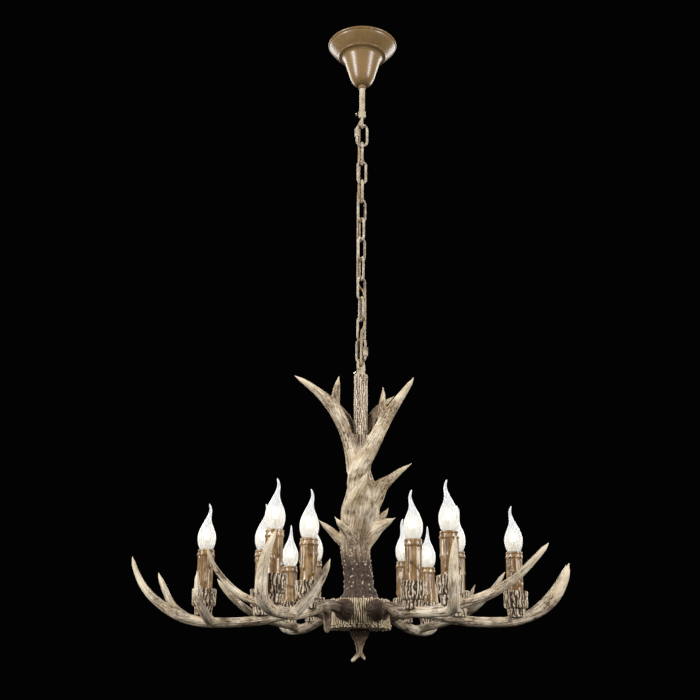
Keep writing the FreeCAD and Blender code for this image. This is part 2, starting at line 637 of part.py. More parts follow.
# Hub drum: hollow from below, with a flat seat, a flat inner wall and a bolt hole for every arm.
drum = cylinder("drum", S.hub_radius, S.hub_height, z=drum_low)
drum_room = hexagon("drum_room", S.hub_inside * 2, S.hub_height - S.hub_top, drum_low)
rod_hole = cylinder("rod_hole", S.rod_radius + S.fit_gap, S.hub_top + 2, z=hub_level - S.hub_top - 1)
drum_cutters = [drum_room, rod_hole]
ARM_TURNS = [60 * index for index in range(6)]
for turn in ARM_TURNS:
    spin = FreeCAD.Rotation(Z, turn)
    angle = math.radians(turn)
    corner_side = S.hub_radius * (0.6 * math.sin(angle))
    corner_front = S.hub_radius * (-0.6 * math.cos(angle))
    seat_cut = box("seat_cut", 20, S.hub_radius * 1.2, S.hub_height,
                   S.hub_flat * math.cos(angle) + corner_side, S.hub_flat * math.sin(angle) + corner_front,
                   drum_low, spin)
    bolt_hole = cylinder("bolt_hole", S.bolt_radius + S.fit_gap, S.hub_radius, z=root_level,
                         rotation=spin.multiply(FreeCAD.Rotation(Y, 90)))
    drum_cutters.append(seat_cut)
    drum_cutters.append(bolt_hole)
nodes["hub"] = cut("hub", drum, drum_cutters)

# Base plate with its bead, the connector block that stands on it, and the forked finial.
plate = cylinder("plate", S.hub_radius - 1.5, S.base_height, z=base_low)
bead = doc.addObject("Part::Torus", "bead")
bind(bead, "Radius1", S.hub_radius - 1.5)
bind(bead, "Radius2", S.bead_radius)
place(bead, z=base_low + S.base_height * 0.5)
plate_blank = fuse("plate_blank", [plate, bead])
plate_hole = cylinder("plate_hole", S.rod_radius + S.fit_gap, S.base_height + 2, z=base_low - 1)
nodes["hub_base"] = cut("hub_base", plate_blank, [plate_hole])

CONNECTOR_X = 26.0
connector_blank = box("connector_blank", 14, 24, 12, CONNECTOR_X - 7, -12, drum_low)
connector_entry = cylinder("connector_entry", S.cable_radius + S.fit_gap, 9, x=CONNECTOR_X - 8.0,
                           z=drum_low + 6.0, rotation=FreeCAD.Rotation(Y, 90))
nodes["hub_connector"] = cut("hub_connector", connector_blank, [connector_entry])


def finial_limb(name, stations):
    """A finial limb from stations of x, depth as a share of the finial and radius in mm."""
    rows = [(vec(x, 0, base_low - S.finial_length * share), ratio) for x, share, ratio in stations]
    return limb(name, rows, Size(1.0, "1"))


finial_left = finial_limb("finial_left", [(0, 0.0, 17), (0, 0.10, 19), (0, 0.2, 17.5), (0, 0.32, 11),
                                          (-1, 0.46, 7), (-5, 0.70, 6.2), (-12, 0.93, 3.6), (-15, 1.0, 0.8)])
finial_right = finial_limb("finial_right", [(0, 0.42, 6), (5, 0.66, 5.4), (9, 0.88, 3.4), (10.5, 0.95, 0.8)])
finial_blank = fuse("finial_blank", [finial_left, finial_right])
finial_bore = cylinder("finial_bore", S.rod_radius + S.slide_gap, 11, z=base_low - 10)
nodes["finial"] = cut("finial", finial_blank, [finial_bore])


# Antler arms. Stations are given from the hub seat, the inner light or the outer light: distance
# outward, distance sideways, height over the cup seats and radius ratio.
START = {"hub": S.hub_flat, "inner": S.inner_light_radius, "outer": S.outer_light_radius}


def arm_point(turn, ref, out, side, rise):
    """A point in an arm's own directions."""
    angle = math.radians(turn)
    radius = START[ref].value + out
    x = radius * math.cos(angle) - side * math.sin(angle)
    y = radius * math.sin(angle) + side * math.cos(angle)
    return FreeCAD.Vector(x, y, seat_level.value + rise)


def arm_limb(name, turn, stations):
    """An arm limb through its stations."""
    rows = [(arm_point(turn, ref, out, side, rise), ratio) for ref, out, side, rise, ratio in stations]
    return limb(name, rows, S.arm_girth)


root_rise = root_level.value - seat_level.value
ROOT = [("hub", 0, 0, root_rise, 2.0), ("hub", 7, 0, root_rise, 2.05), ("hub", 14, 0, root_rise, 1.55),
        ("hub", 24, 0, root_rise + 1, 1.15)]
ARMS = {
    "arm_right": (0, [
        ROOT + [("inner", -70, 0, -9, 0.95), ("inner", 0, 0, -21, 0.98), ("inner", 45, 0, -25, 0.95),
                ("outer", -10, 0, -23, 1.0), ("outer", 36, 0, -7, 1.15), ("outer", 70, 0, 18, 1.2),
                ("outer", 94, 0, 54, 0.9), ("outer", 105, 0, 84, 0.42), ("outer", 107, 0, 88, 0.08)],
        [("outer", 30, 4, -10, 0.9), ("outer", 66, 12, 22, 0.9), ("outer", 90, 13, 56, 0.65),
         ("outer", 101, 10, 82, 0.3), ("outer", 102, 10, 85, 0.08)]]),
    "arm_right_rear": (60, [
        ROOT + [("inner", -70, 0, -8, 0.95), ("inner", 0, 0, -23, 1.0), ("inner", 62, 0, -28, 1.0),
                ("outer", 0, 0, -24, 1.05), ("outer", 28, 0, -12, 1.0), ("outer", 36, 0, 18, 0.85),
                ("outer", 34, 0, 56, 0.6), ("outer", 28, 0, 88, 0.25), ("outer", 27, 0, 91, 0.08)],
        [("inner", 58, 0, -26, 0.9), ("inner", 54, -55, -16, 0.8), ("inner", 56, -93, -6, 0.7),
         ("inner", 58, -135, 16, 0.7), ("inner", 58, -172, 48, 0.58), ("inner", 56, -200, 80, 0.38),
         ("inner", 56, -202, 83, 0.08)],
        [("inner", 55, -90, -8, 0.6), ("inner", 40, -122, 20, 0.52), ("inner", 26, -147, 55, 0.28),
         ("inner", 25, -148, 57, 0.08)]]),
    "arm_left_rear": (120, [
        ROOT + [("inner", -70, 0, -7, 0.95), ("inner", 0, 0, -20, 1.0), ("inner", 48, 0, -27, 1.0),
                ("outer", 0, 0, -24, 1.05), ("outer", 28, 0, -12, 1.0), ("outer", 36, 0, 18, 0.85),
                ("outer", 34, 0, 56, 0.6), ("outer", 28, 0, 88, 0.25), ("outer", 27, 0, 91, 0.08)],
        [("inner", 58, 0, -26, 0.9), ("inner", 52, 55, -16, 0.85), ("inner", 55, 93, -8, 0.8),
         ("inner", 58, 132, 12, 0.74), ("inner", 62, 165, 38, 0.6), ("inner", 64, 188, 63, 0.4),
         ("inner", 64, 190, 66, 0.08)],
        [("inner", 53, 98, -8, 0.65), ("inner", 44, 128, 4, 0.56), ("inner", 38, 149, 20, 0.36),
         ("inner", 37.5, 150, 22, 0.08)]]),
    "arm_left": (180, [
        ROOT + [("inner", -70, 0, -9, 0.95), ("inner", -10, 0, -23, 0.95), ("inner", 30, 0, -28, 0.95),
                ("outer", -28, 0, -30, 0.95), ("outer", 22, 0, -25, 1.0), ("outer", 61, 0, -9, 1.0),
                ("outer", 96, 0, 14, 0.82), ("outer", 119, 0, 39, 0.68), ("outer", 135, 0, 68, 0.5),
                ("outer", 142.5, 0, 91, 0.34), ("outer", 143, 0, 94, 0.08)],
        [("outer", 30, -4, -22, 0.85), ("outer", 62, -18, 3, 0.75), ("outer", 82, -22, 38, 0.6),
         ("outer", 93.5, -22, 63, 0.36), ("outer", 94, -22, 66, 0.08)],
        [("outer", -16, 4, -28, 0.95), ("outer", -8, 30, -18, 0.92), ("outer", 4, 42, 8, 0.8),
         ("outer", 8, 43, 34, 0.6), ("outer", 10, 42, 60, 0.32), ("outer", 10, 42, 63, 0.08)]]),
    "arm_left_front": (240, [
        ROOT + [("inner", -70, 0, -4, 1.0), ("inner", 0, 0, -20, 1.0), ("inner", 52, 0, -28, 1.05),
                ("outer", 2, 0, -25, 1.1), ("outer", 31, 0, -9, 1.1), ("outer", 38, 2, 24, 1.0),
                ("outer", 36, 8, 62, 0.82), ("outer", 28, 20, 100, 0.38), ("outer", 27.5, 22, 106, 0.08)],
        [("inner", 46, 2, -26, 1.0), ("inner", 36, 22, -4, 0.92), ("inner", 22, 42, 34, 0.7),
         ("inner", 12.5, 51, 64, 0.38), ("inner", 12, 52, 68, 0.08)],
        [("inner", 74, -2, -27, 0.9), ("inner", 72, -44, -14, 0.72), ("inner", 84, -85, 4, 0.66),
         ("inner", 97, -112, 29, 0.58), ("inner", 108, -133, 60, 0.48), ("inner", 113.5, -141, 85, 0.32),
         ("inner", 114, -142, 88, 0.08)],
        [("hub", 66, 0, -6, 0.9), ("hub", 68, 2, -28, 0.9), ("hub", 69, 3, -48, 0.66),
         ("hub", 69, 3, -54, 0.2)]]),
    "arm_right_front": (300, [
        ROOT + [("inner", -76, 0, -7, 1.0), ("inner", -40, 0, -17, 1.2), ("inner", 4, 0, -21, 0.95),
                ("inner", 60, 0, -23, 1.0), ("outer", 0, -1, -24, 1.05), ("outer", 26, -11, -14, 1.02),
                ("outer", 35, -17, 14, 0.95), ("outer", 35, -17, 42, 0.85), ("outer", 36, -15, 72, 0.58),
                ("outer", 36.5, -13, 91, 0.34), ("outer", 36.5, -13, 95, 0.08)],
        [("inner", 62, 2, -22, 0.95), ("inner", 48, 50, -9, 0.98), ("inner", 62, 93, 2, 0.95),
         ("inner", 84, 132, 23, 0.86), ("inner", 103, 164, 51, 0.72), ("inner", 126, 203, 97, 0.44),
         ("inner", 128, 207, 103, 0.1)],
        [("inner", 58, 40, -14, 0.6), ("inner", 66, 62, -24, 0.45), ("inner", 72, 76, -26, 0.1)],
        [("hub", 32, 0, -6, 1.0), ("hub", 36, -2, -16, 0.95), ("hub", 38, -3, -24, 0.7),
         ("hub", 38.5, -3, -29, 0.15)]]),
}
LIGHTS = []
for turn in ARM_TURNS:
    for ref in ("inner", "outer"):
        LIGHTS.append((turn, ref))

for label, (turn, limbs) in ARMS.items():
    pieces = []
    for stations in limbs:
        pieces.append(arm_limb(label + "_limb", turn, stations))
    cutters = []
    angle = math.radians(turn)
    for ref in ("inner", "outer"):
        light_x = START[ref] * math.cos(angle)
        light_y = START[ref] * math.sin(angle)
        foot = cylinder(label + "_foot", S.foot_radius, S.foot_height, light_x, light_y,
                        seat_level - S.foot_height)
        bore = cylinder(label + "_nipple_bore", S.nipple_radius + S.slide_gap, S.nipple_depth + 1,
                        light_x, light_y, seat_level - S.nipple_depth)
        pieces.append(foot)
        cutters.append(bore)
    spin = FreeCAD.Rotation(Z, turn).multiply(FreeCAD.Rotation(Y, 90))
    cutters.append(cylinder(label + "_bolt_bore", S.bolt_radius + S.slide_gap, S.bolt_reach,
                            S.hub_flat * math.cos(angle), S.hub_flat * math.sin(angle), root_level, spin))
    blank = fuse(label + "_blank", pieces)
    nodes[label] = cut(label, blank, cutters)

# Arm bolts, heads on the flat inner walls of the hub.
bolt_shank = cylinder("bolt_shank", S.bolt_radius, S.hub_flat - S.hub_inside + S.bolt_reach - 1.0,
                      S.hub_inside, 0, root_level, FreeCAD.Rotation(Y, 90))
bolt_head = cylinder("bolt_head", S.bolt_head_radius, S.bolt_head_height,
                     S.hub_inside - S.bolt_head_height, 0, root_level, FreeCAD.Rotation(Y, 90))
bolt_master = fuse("bolt_master", [bolt_shank, bolt_head])
spins = [FreeCAD.Placement(FreeCAD.Vector(), FreeCAD.Rotation(Z, turn)) for turn in ARM_TURNS]
nodes["arm_bolts"] = solid_copies("arm_bolts", bolt_master, spins)

# One light, drawn on the axis: bark cup, nipple, lamp holder, drip candle and bulb.
light_places = []
for turn, ref in LIGHTS:
    angle = math.radians(turn)
    spot = FreeCAD.Vector(START[ref].value * math.cos(angle), START[ref].value * math.sin(angle), 0)
    light_places.append(FreeCAD.Placement(spot, FreeCAD.Rotation(Z, turn)))

floor_level = seat_level + S.cup_floor
brim_level = seat_level + S.cup_height
candle_level = brim_level + S.candle_visible
cup_bore = S.candle_radius + S.fit_gap
cup_master = turned("cup_master", [
    (S.nipple_radius + S.fit_gap, seat_level), (S.foot_radius, seat_level),
    (S.cup_radius * 0.87, seat_level + 3), (S.cup_radius * 0.96, seat_level + S.cup_height * 0.35),
    (S.cup_radius * 0.98, seat_level + S.cup_height * 0.7), (S.cup_radius, brim_level - 4),
    (S.cup_radius, brim_level - 1.5), (S.cup_radius - 1.5, brim_level), (cup_bore, brim_level),
    (cup_bore, floor_level), (S.nipple_radius + S.fit_gap, floor_level)])
nodes["candle_cups"] = solid_copies("candle_cups", cup_master, light_places)

nipple_master = tube("nipple_master", S.nipple_radius, S.nipple_radius - S.nipple_wall,
                     seat_level - S.nipple_depth, seat_level + S.nipple_rise)
nodes["holder_nipples"] = solid_copies("holder_nipples", nipple_master, light_places)

candle_inside = S.candle_radius - S.candle_wall
candle_master = turned("candle_master", [
    (candle_inside, floor_level), (S.candle_radius, floor_level), (S.candle_radius, candle_level - 7),
    (S.candle_radius + 0.9, candle_level - 6), (S.candle_radius + 0.9, candle_level - 1),
    (S.candle_radius, candle_level), (candle_inside, candle_level)])
nodes["candle_sleeves"] = solid_copies("candle_sleeves", candle_master, light_places)

holder_top = candle_level - 3.0
holder_neck = holder_top - S.holder_head
cap_low = holder_top + 1.0 - S.cap_height
nipple_top = seat_level + S.nipple_rise
cap_bore = S.cap_radius + S.slide_gap
holder_master = turned("holder_master", [
    (S.nipple_radius + S.slide_gap, floor_level), (S.holder_radius - 1, floor_level),
    (S.holder_radius - 1, floor_level + 3), (S.holder_stem_radius, floor_level + 6),
    (S.holder_stem_radius, holder_neck - 5), (S.holder_radius, holder_neck), (S.holder_radius, holder_top),
    (cap_bore, holder_top), (cap_bore, cap_low - 3), (3.0, cap_low - 3), (3.0, nipple_top),
    (S.nipple_radius + S.slide_gap, nipple_top)])
nodes["lamp_holders"] = solid_copies("lamp_holders", holder_master, light_places)

glass_low = holder_top + 1.0
glass_height = S.bulb_height + 2.0
GLASS = [(0.0, 0.50, 0.0), (0.03, 0.66, 0.0), (0.08, 0.80, 0.0), (0.16, 0.93, 0.0), (0.25, 0.99, 0.0),
         (0.33, 1.0, 0.0), (0.44, 0.90, 0.0), (0.54, 0.72, 0.05), (0.64, 0.51, 0.22), (0.74, 0.345, 0.60),
         (0.83, 0.23, 0.94), (0.91, 0.155, 1.0), (0.97, 0.11, 0.72), (1.0, 0.04, 0.45)]


def glass_skin(name, wall, rows):
    """A bulb skin through round sections, moved in by the wall."""
    radius = S.bulb_radius - wall
    stations = []
    for share, ratio, bend in rows:
        centre = vec(S.bulb_bend * bend, 0, glass_low + wall + (glass_height - wall * 2) * share)
        stations.append((centre, (S.bulb_radius.value * ratio - wall.value) / radius.value))
    return limb(name, stations, radius)


glass_outside = glass_skin("glass_outside", as_size(0.0), GLASS)
glass_inside = glass_skin("glass_inside", S.glass_wall, GLASS[:-3])
glass_master = cut("glass_master", glass_outside, [glass_inside])
cap_skirt = cylinder("cap_skirt", S.cap_radius, S.cap_height - 3, z=cap_low + 3)
cap_tip = cylinder("cap_tip", S.cap_radius * 0.5, 3, z=cap_low)
cap_master = fuse("cap_master", [cap_skirt, cap_tip])
doc.recompute()
bulb_solids = Part.makeCompound([glass_master.Shape, cap_master.Shape])
# Way the bent tips point, one for each light in the order of the arms, inner before outer.
TIP_WAYS = [0, 180, 160, 75, 180, 80, 0, 0, 0, 0, 180, 170]
for index, spot in enumerate(light_places):
    label = "bulb_%02d" % (index + 1)
    bulb = doc.addObject("Part::Feature", label)
    bulb.Shape = bulb_solids.copy()
    bulb.Placement = FreeCAD.Placement(spot.Base, FreeCAD.Rotation(Z, TIP_WAYS[index]))
    nodes[label] = bulb

# Flex cable: from the terminal block through the window into the tube, down beside the chain at the
# left, through the eighth link to the right and the front, and down the hollow rod to the connector.
beside = S.wire_radius + S.cable_radius + S.hang_gap * 2 + 2.3


def beside_chain(turn, out, level):
    """A point of the cable beside the chain, at this turn about Z."""
    reach = (beside + out).value
    east = reach * math.cos(math.radians(turn))
    north = reach * math.sin(math.radians(turn))
    return FreeCAD.Vector(east, north, as_size(level).value)


def shift(start, end):
    """Two arcs that carry the cable from one upright run to another beside it."""
    across = FreeCAD.Vector(end.x - start.x, end.y - start.y, 0)
    fall = start.z - end.z
    half = math.atan2(across.Length, fall)
    turn = 2 * half
    bend = fall / (2 * math.sin(turn))
    way = across.normalize()
    quarter = start + way * (bend * (1 - math.cos(half))) - Z * (bend * math.sin(half))
    middle = (start + end) * 0.5
    last = end - way * (bend * (1 - math.cos(half))) + Z * (bend * math.sin(half))
    return [arc(start, quarter, middle), arc(middle, last, end)]


bend = S.cable_bend.value
tube_run_top = Z * (-S.tube_window_depth.value - 7.0)
window_out = tube_run_top + X * bend + Z * bend
block_turn = FreeCAD.Vector(TERMINAL_X - bend, 0, window_out.z)
block_up = FreeCAD.Vector(TERMINAL_X, 0, window_out.z + bend)
block_end = FreeCAD.Vector(TERMINAL_X, 0, -S.strap_thickness.value - 10)
eye_in = Z * (loop_low.value + 1.0)
third_bar = -S.eye_drop - S.quick_pitch - S.link_pitch * 2
eighth_bar = third_bar - S.link_pitch * 5
tenth_bar = eighth_bar - S.link_pitch * 2
runs = [(142, 0, -S.eye_drop + S.wire_radius * 3 + S.hang_gap + 0.4, third_bar - S.wire_radius),
        (171, 0, third_bar - S.link_pitch + S.wire_radius * 2 + 0.3, eighth_bar - S.wire_radius - 1.0),
        (352, 0, eighth_bar - S.link_pitch + S.wire_radius + 4.5, tenth_bar - S.wire_radius - 0.8),
        (272, 2.2, tenth_bar - S.link_pitch + S.wire_radius * 3 + 0.7, bar_level - S.wire_radius + 1.0)]
rod_in = Z * (body_collar_top.value - 1.5)
rod_run_low = Z * (rod_window_level.value - 3.0)
rod_out = rod_run_low + X * bend - Z * bend
lift = math.sqrt(0.5) * bend
cable_edges = [
    line(block_end, block_up),
    arc(block_up, FreeCAD.Vector(TERMINAL_X - bend + lift, 0, block_up.z - lift), block_turn),
    line(block_turn, window_out),
    arc(window_out, tube_run_top + X * (bend - lift) + Z * lift, tube_run_top),
    line(tube_run_top, eye_in)]
last_point = eye_in
for turn, out, high, low in runs:
    run_top = beside_chain(turn, out, high)
    run_low = beside_chain(turn, out, low)
    cable_edges += shift(last_point, run_top)
    cable_edges.append(line(run_top, run_low))
    last_point = run_low
cable_edges += shift(last_point, rod_in)
fall_turn = FreeCAD.Vector(CONNECTOR_X - 3.0, 0, rod_out.z)
cable_edges += [
    line(rod_in, rod_run_low),
    arc(rod_run_low, rod_run_low + X * (bend - lift) - Z * lift, rod_out),
    line(rod_out, fall_turn)]
nodes["flex_cable"] = wire_bar("flex_cable", cable_edges, S.cable_radius.value)

doc.recompute()
faults = []
for item in doc.Objects:
    if "Invalid" in item.State or "Error" in item.State:
        faults.append(item.Label)
for label, item in nodes.items():
    if item.Shape.isNull() or not item.Shape.isValid() or not item.Shape.Solids:
        faults.append(label + " shape")
if faults:
    raise RuntimeError("faulty objects: " + ", ".join(faults))

os.makedirs("parts", exist_ok=True)
for label, item in nodes.items():
    item.Shape.exportStep("parts/%s.step" % label)
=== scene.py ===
import json
import math
import random

import bmesh
import bpy
import numpy as np
from mathutils import Matrix, Vector, noise

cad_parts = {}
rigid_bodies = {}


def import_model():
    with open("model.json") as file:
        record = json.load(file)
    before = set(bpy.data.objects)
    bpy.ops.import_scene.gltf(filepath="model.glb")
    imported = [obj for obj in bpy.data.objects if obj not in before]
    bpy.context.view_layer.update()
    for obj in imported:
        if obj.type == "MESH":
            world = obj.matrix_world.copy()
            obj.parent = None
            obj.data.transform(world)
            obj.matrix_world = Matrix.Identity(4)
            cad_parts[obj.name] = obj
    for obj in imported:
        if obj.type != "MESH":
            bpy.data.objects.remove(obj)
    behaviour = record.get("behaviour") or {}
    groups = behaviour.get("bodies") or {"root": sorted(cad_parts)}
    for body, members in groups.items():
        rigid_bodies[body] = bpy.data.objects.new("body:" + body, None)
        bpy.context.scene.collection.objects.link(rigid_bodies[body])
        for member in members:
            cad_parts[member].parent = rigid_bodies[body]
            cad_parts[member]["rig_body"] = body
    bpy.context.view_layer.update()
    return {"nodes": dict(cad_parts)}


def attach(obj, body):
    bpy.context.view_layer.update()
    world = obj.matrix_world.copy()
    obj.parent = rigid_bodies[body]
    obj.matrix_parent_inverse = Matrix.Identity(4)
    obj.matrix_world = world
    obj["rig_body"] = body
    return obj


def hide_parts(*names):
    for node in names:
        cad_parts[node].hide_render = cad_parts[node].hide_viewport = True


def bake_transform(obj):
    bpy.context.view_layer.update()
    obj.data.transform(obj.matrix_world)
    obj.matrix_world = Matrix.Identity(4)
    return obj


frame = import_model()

# Studio: a floor well under the hanging lamp, pale in its middle and fading to dark at its edge, a painted
# pool of light, and a dark room round it, lit by two tall soft panels at its front corners, two weaker ones
# behind for its edges and an even soft light from all round. The camera stands low in front of the lamp and
# looks a little up at it.
MM = 0.001
DARK_ROOM = (0.001, 0.001, 0.0012, 1.0)
ROOM_LIGHT = 0.30
PANEL_AIM = Vector((0.0, 0.0, -0.8))
PANELS = [("left_panel", (-2.6, -1.7, 0.1), 108.0, 0.9, 2.2),
          ("right_panel", (2.6, -1.7, 0.1), 90.0, 0.9, 2.2),
          ("left_rear_panel", (-2.0, 2.4, 0.4), 36.0, 1.4, 2.0),
          ("right_rear_panel", (2.0, 2.4, 0.4), 36.0, 1.4, 2.0)]
CAMERA_SPOT = (-0.0228, -2.117, -1.427)
CAMERA_LENS = 55.36
LOOK_UP = 18.2
LEAN = 0.45
FLOOR_LEVEL = -2.6
FLOOR_RADIUS = 9.0

scene = bpy.context.scene
scene.view_settings.view_transform = "Standard"
room = bpy.data.worlds.new("dark_room")
scene.world = room
room.use_nodes = True
room_nodes = room.node_tree.nodes
room_links = room.node_tree.links
lit = room_nodes["Background"]
lit.inputs["Color"].default_value = (1.0, 1.0, 1.0, 1.0)
lit.inputs["Strength"].default_value = ROOM_LIGHT
seen = room_nodes.new("ShaderNodeBackground")
seen.inputs["Color"].default_value = DARK_ROOM
path = room_nodes.new("ShaderNodeLightPath")
dark_rays = path.outputs["Is Camera Ray"]
for ray in ("Is Glossy Ray", "Is Transmission Ray"):
    either = room_nodes.new("ShaderNodeMath")
    either.operation = "MAXIMUM"
    room_links.new(dark_rays, either.inputs[0])
    room_links.new(path.outputs[ray], either.inputs[1])
    dark_rays = either.outputs[0]
choose = room_nodes.new("ShaderNodeMixShader")
room_links.new(dark_rays, choose.inputs["Fac"])
room_links.new(lit.outputs[0], choose.inputs[1])
room_links.new(seen.outputs[0], choose.inputs[2])
room_links.new(choose.outputs[0], room_nodes["World Output"].inputs["Surface"])

for label, spot, watts, wide, tall in PANELS:
    panel = bpy.data.lights.new(label, "AREA")
    panel.shape = "RECTANGLE"
    panel.energy = watts
    panel.size = wide
    panel.size_y = tall
    lamp = bpy.data.objects.new(label, panel)
    lamp.location = spot
    lamp.rotation_euler = (PANEL_AIM - lamp.location).to_track_quat("-Z", "Y").to_euler()
    scene.collection.objects.link(lamp)

camera_lens = bpy.data.cameras.new("low_camera")
camera_lens.sensor_width = 36.0
camera_lens.lens = CAMERA_LENS
camera = bpy.data.objects.new("low_camera", camera_lens)
camera.location = CAMERA_SPOT
aim = Matrix.Rotation(math.radians(90.0 + LOOK_UP), 3, "X") @ Matrix.Rotation(math.radians(LEAN), 3, "Z")
camera.rotation_euler = aim.to_euler()
scene.collection.objects.link(camera)
scene.camera = camera


def tint(red, green, blue):
    """A colour as it looks on a screen, 0 to 255, turned into light."""
    shares = [part / 255.0 for part in (red, green, blue)]
    light = [part / 12.92 if part <= 0.04045 else ((part + 0.055) / 1.055) ** 2.4 for part in shares]
    return (*light, 1.0)


class Finish:
    """A surface finish, with short calls that add and join its nodes."""

    def __init__(self, name, **sockets):
        self.material = bpy.data.materials.new(name)
        self.material.use_nodes = True
        self.tree = self.material.node_tree
        self.shader = self.tree.nodes["Principled BSDF"]
        for key, value in sockets.items():
            self.shader.inputs[key.replace("_", " ")].default_value = value

    def join(self, value, socket):
        """Link a socket, or set it to a plain value."""
        if isinstance(value, bpy.types.NodeSocket):
            self.tree.links.new(value, socket)
        else:
            socket.default_value = value

    def node(self, kind, inputs, **settings):
        made = self.tree.nodes.new("ShaderNode" + kind)
        for key, value in settings.items():
            setattr(made, key, value)
        for key, value in inputs.items():
            self.join(value, made.inputs[key])
        return made

    def place(self, stretch=(1.0, 1.0, 1.0)):
        """Object coordinates, stretched."""
        spot = self.node("TexCoord", {}).outputs["Object"]
        return self.node("Mapping", {"Vector": spot, "Scale": stretch}).outputs["Vector"]

    def marked(self, name, output="Fac"):
        """A value stored on the mesh."""
        return self.node("Attribute", {}, attribute_name=name).outputs[output]

    def cloud(self, scale, detail=4.0, roughness=0.55, stretch=(1.0, 1.0, 1.0), grain=None):
        """A noise in the object's own coordinates, or in those of a grain."""
        spot = self.place(stretch) if grain is None else grain
        inputs = {"Vector": spot, "Scale": scale, "Detail": detail, "Roughness": roughness}
        return self.node("TexNoise", inputs).outputs["Fac"]

    def ramp(self, factor, stops):
        """Colours, or plain shares, along a factor."""
        made = self.node("ValToRGB", {"Fac": factor})
        band = made.color_ramp
        while len(band.elements) < len(stops):
            band.elements.new(0.5)
        for element, (spot, value) in zip(band.elements, stops):
            element.position = spot
            element.color = value if isinstance(value, tuple) else (value, value, value, 1.0)
        return made.outputs["Color"]

    def mix(self, factor, first, second):
        made = self.node("Mix", {}, data_type="RGBA")
        self.join(factor, made.inputs[0])
        self.join(first, made.inputs[6])
        self.join(second, made.inputs[7])
        return made.outputs[2]

    def lay(self, base, colour, factor, *stops):
        """A colour laid over a base, as thick as the stops make it along a factor."""
        return self.mix(self.ramp(factor, stops), base, colour)

    def sums(self, operation, first, second):
        made = self.node("Math", {}, operation=operation)
        self.join(first, made.inputs[0])
        self.join(second, made.inputs[1])
        return made.outputs[0]

    def colour(self, value):
        self.join(value, self.shader.inputs["Base Color"])

    def roughen(self, value):
        self.join(value, self.shader.inputs["Roughness"])

    def relief(self, height, strength, depth):
        """Fine relief, its depth in millimetres."""
        bump = self.node("Bump", {"Height": height, "Strength": strength, "Distance": depth * MM})
        self.tree.links.new(bump.outputs["Normal"], self.shader.inputs["Normal"])


floor_finish = Finish("pale_floor", Roughness=0.9)
floor_flat = floor_finish.place((1.0, 1.0, 0.0))
floor_away = floor_finish.node("VectorMath", {0: floor_flat}, operation="LENGTH").outputs["Value"]
# The floor's colour is a painted pool of light: pale under the lamp, fading through grey to the dark room at
# its edge.
floor_painted_pool = floor_finish.ramp(floor_finish.sums("DIVIDE", floor_away, FLOOR_RADIUS),
                               [(0.2, tint(205, 203, 199)), (0.5, tint(96, 95, 93)), (0.95, DARK_ROOM)])
floor_seen = floor_finish.node("LightPath", {}).outputs["Is Camera Ray"]
floor_finish.colour(floor_finish.mix(floor_seen, tint(62, 61, 60), floor_painted_pool))
floor_bm = bmesh.new()
bmesh.ops.create_circle(floor_bm, cap_ends=True, segments=96, radius=FLOOR_RADIUS,
                        matrix=Matrix.Translation((0.0, 0.0, FLOOR_LEVEL)))
floor_mesh = bpy.data.meshes.new("pale_floor")
floor_bm.to_mesh(floor_mesh)
floor_bm.free()
floor_mesh.materials.append(floor_finish.material)
floor = bpy.data.objects.new("pale_floor", floor_mesh)
scene.collection.objects.link(floor)

# Ceiling strap, lock nut and terminal block: a zinc-plated steel strap screwed to the ceiling, the nut
# that locks the tube under it, and a moulded block that clamps the mains lead. The canopy hides them.
TERMINAL_FACE = 34.4
TERMINAL_LEVEL = -8.0
TERMINAL_STEPS = (-6.5, 0.0, 6.5)


def two_tone(name, dark, light, scale, detail=4.0, stretch=(1.0, 1.0, 1.0), dull=None, **sockets):
    """A finish that drifts between two colours and, where dull gives them, between two roughnesses."""
    made = Finish(name, **sockets)
    drift = made.cloud(scale, detail, stretch=stretch)
    made.colour(made.ramp(drift, [(0.3, dark), (0.7, light)]))
    if dull:
        made.roughen(made.ramp(drift, [(0.3, dull[0]), (0.7, dull[1])]))
    return made


zinc = two_tone("zinc_plate", tint(150, 150, 146), tint(196, 196, 190), 120.0, 5.0, dull=(0.5, 0.3),
                Metallic=1.0)
zinc.relief(zinc.cloud(900.0, 2.0, stretch=(1.0, 6.0, 6.0)), 0.12, 0.2)
white_nylon = Finish("terminal_nylon", Roughness=0.45)
white_nylon.colour(white_nylon.ramp(white_nylon.cloud(160.0), [(0.35, tint(214, 210, 198)),
                                                               (0.65, tint(228, 225, 214))]))
white_nylon.relief(white_nylon.cloud(1500.0, 2.0), 0.1, 0.1)
aged_brass = two_tone("aged_brass", tint(132, 98, 48), tint(196, 158, 92), 260.0, 5.0, dull=(0.5, 0.26),
                      Metallic=1.0)


def dress(node, finish):
    """Give a CAD piece that keeps its own shape its finish."""
    mesh = frame["nodes"][node].data
    mesh.materials.clear()
    mesh.materials.append(finish.material)


def hang(name, bm, finishes, body, replaced=(), sharp=38.0):
    """Make a finished piece of a bmesh, on a body of the frame."""
    bmesh.ops.remove_doubles(bm, verts=bm.verts, dist=2e-6)
    bmesh.ops.recalc_face_normals(bm, faces=bm.faces)
    mesh = bpy.data.meshes.new(name)
    bm.to_mesh(mesh)
    bm.free()
    return hang_mesh(name, mesh, finishes, body, replaced, sharp)


def hang_mesh(name, mesh, finishes, body, replaced=(), sharp=38.0):
    """Put a finished mesh on a body of the frame, or leave it free where the body is None."""
    for finish in finishes:
        mesh.materials.append(finish.material)
    mesh.shade_smooth()
    mesh.set_sharp_from_angle(angle=math.radians(sharp))
    piece = bpy.data.objects.new(name, mesh)
    scene.collection.objects.link(piece)
    if body is not None:
        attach(piece, body)
    if replaced:
        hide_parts(*replaced)
    return piece


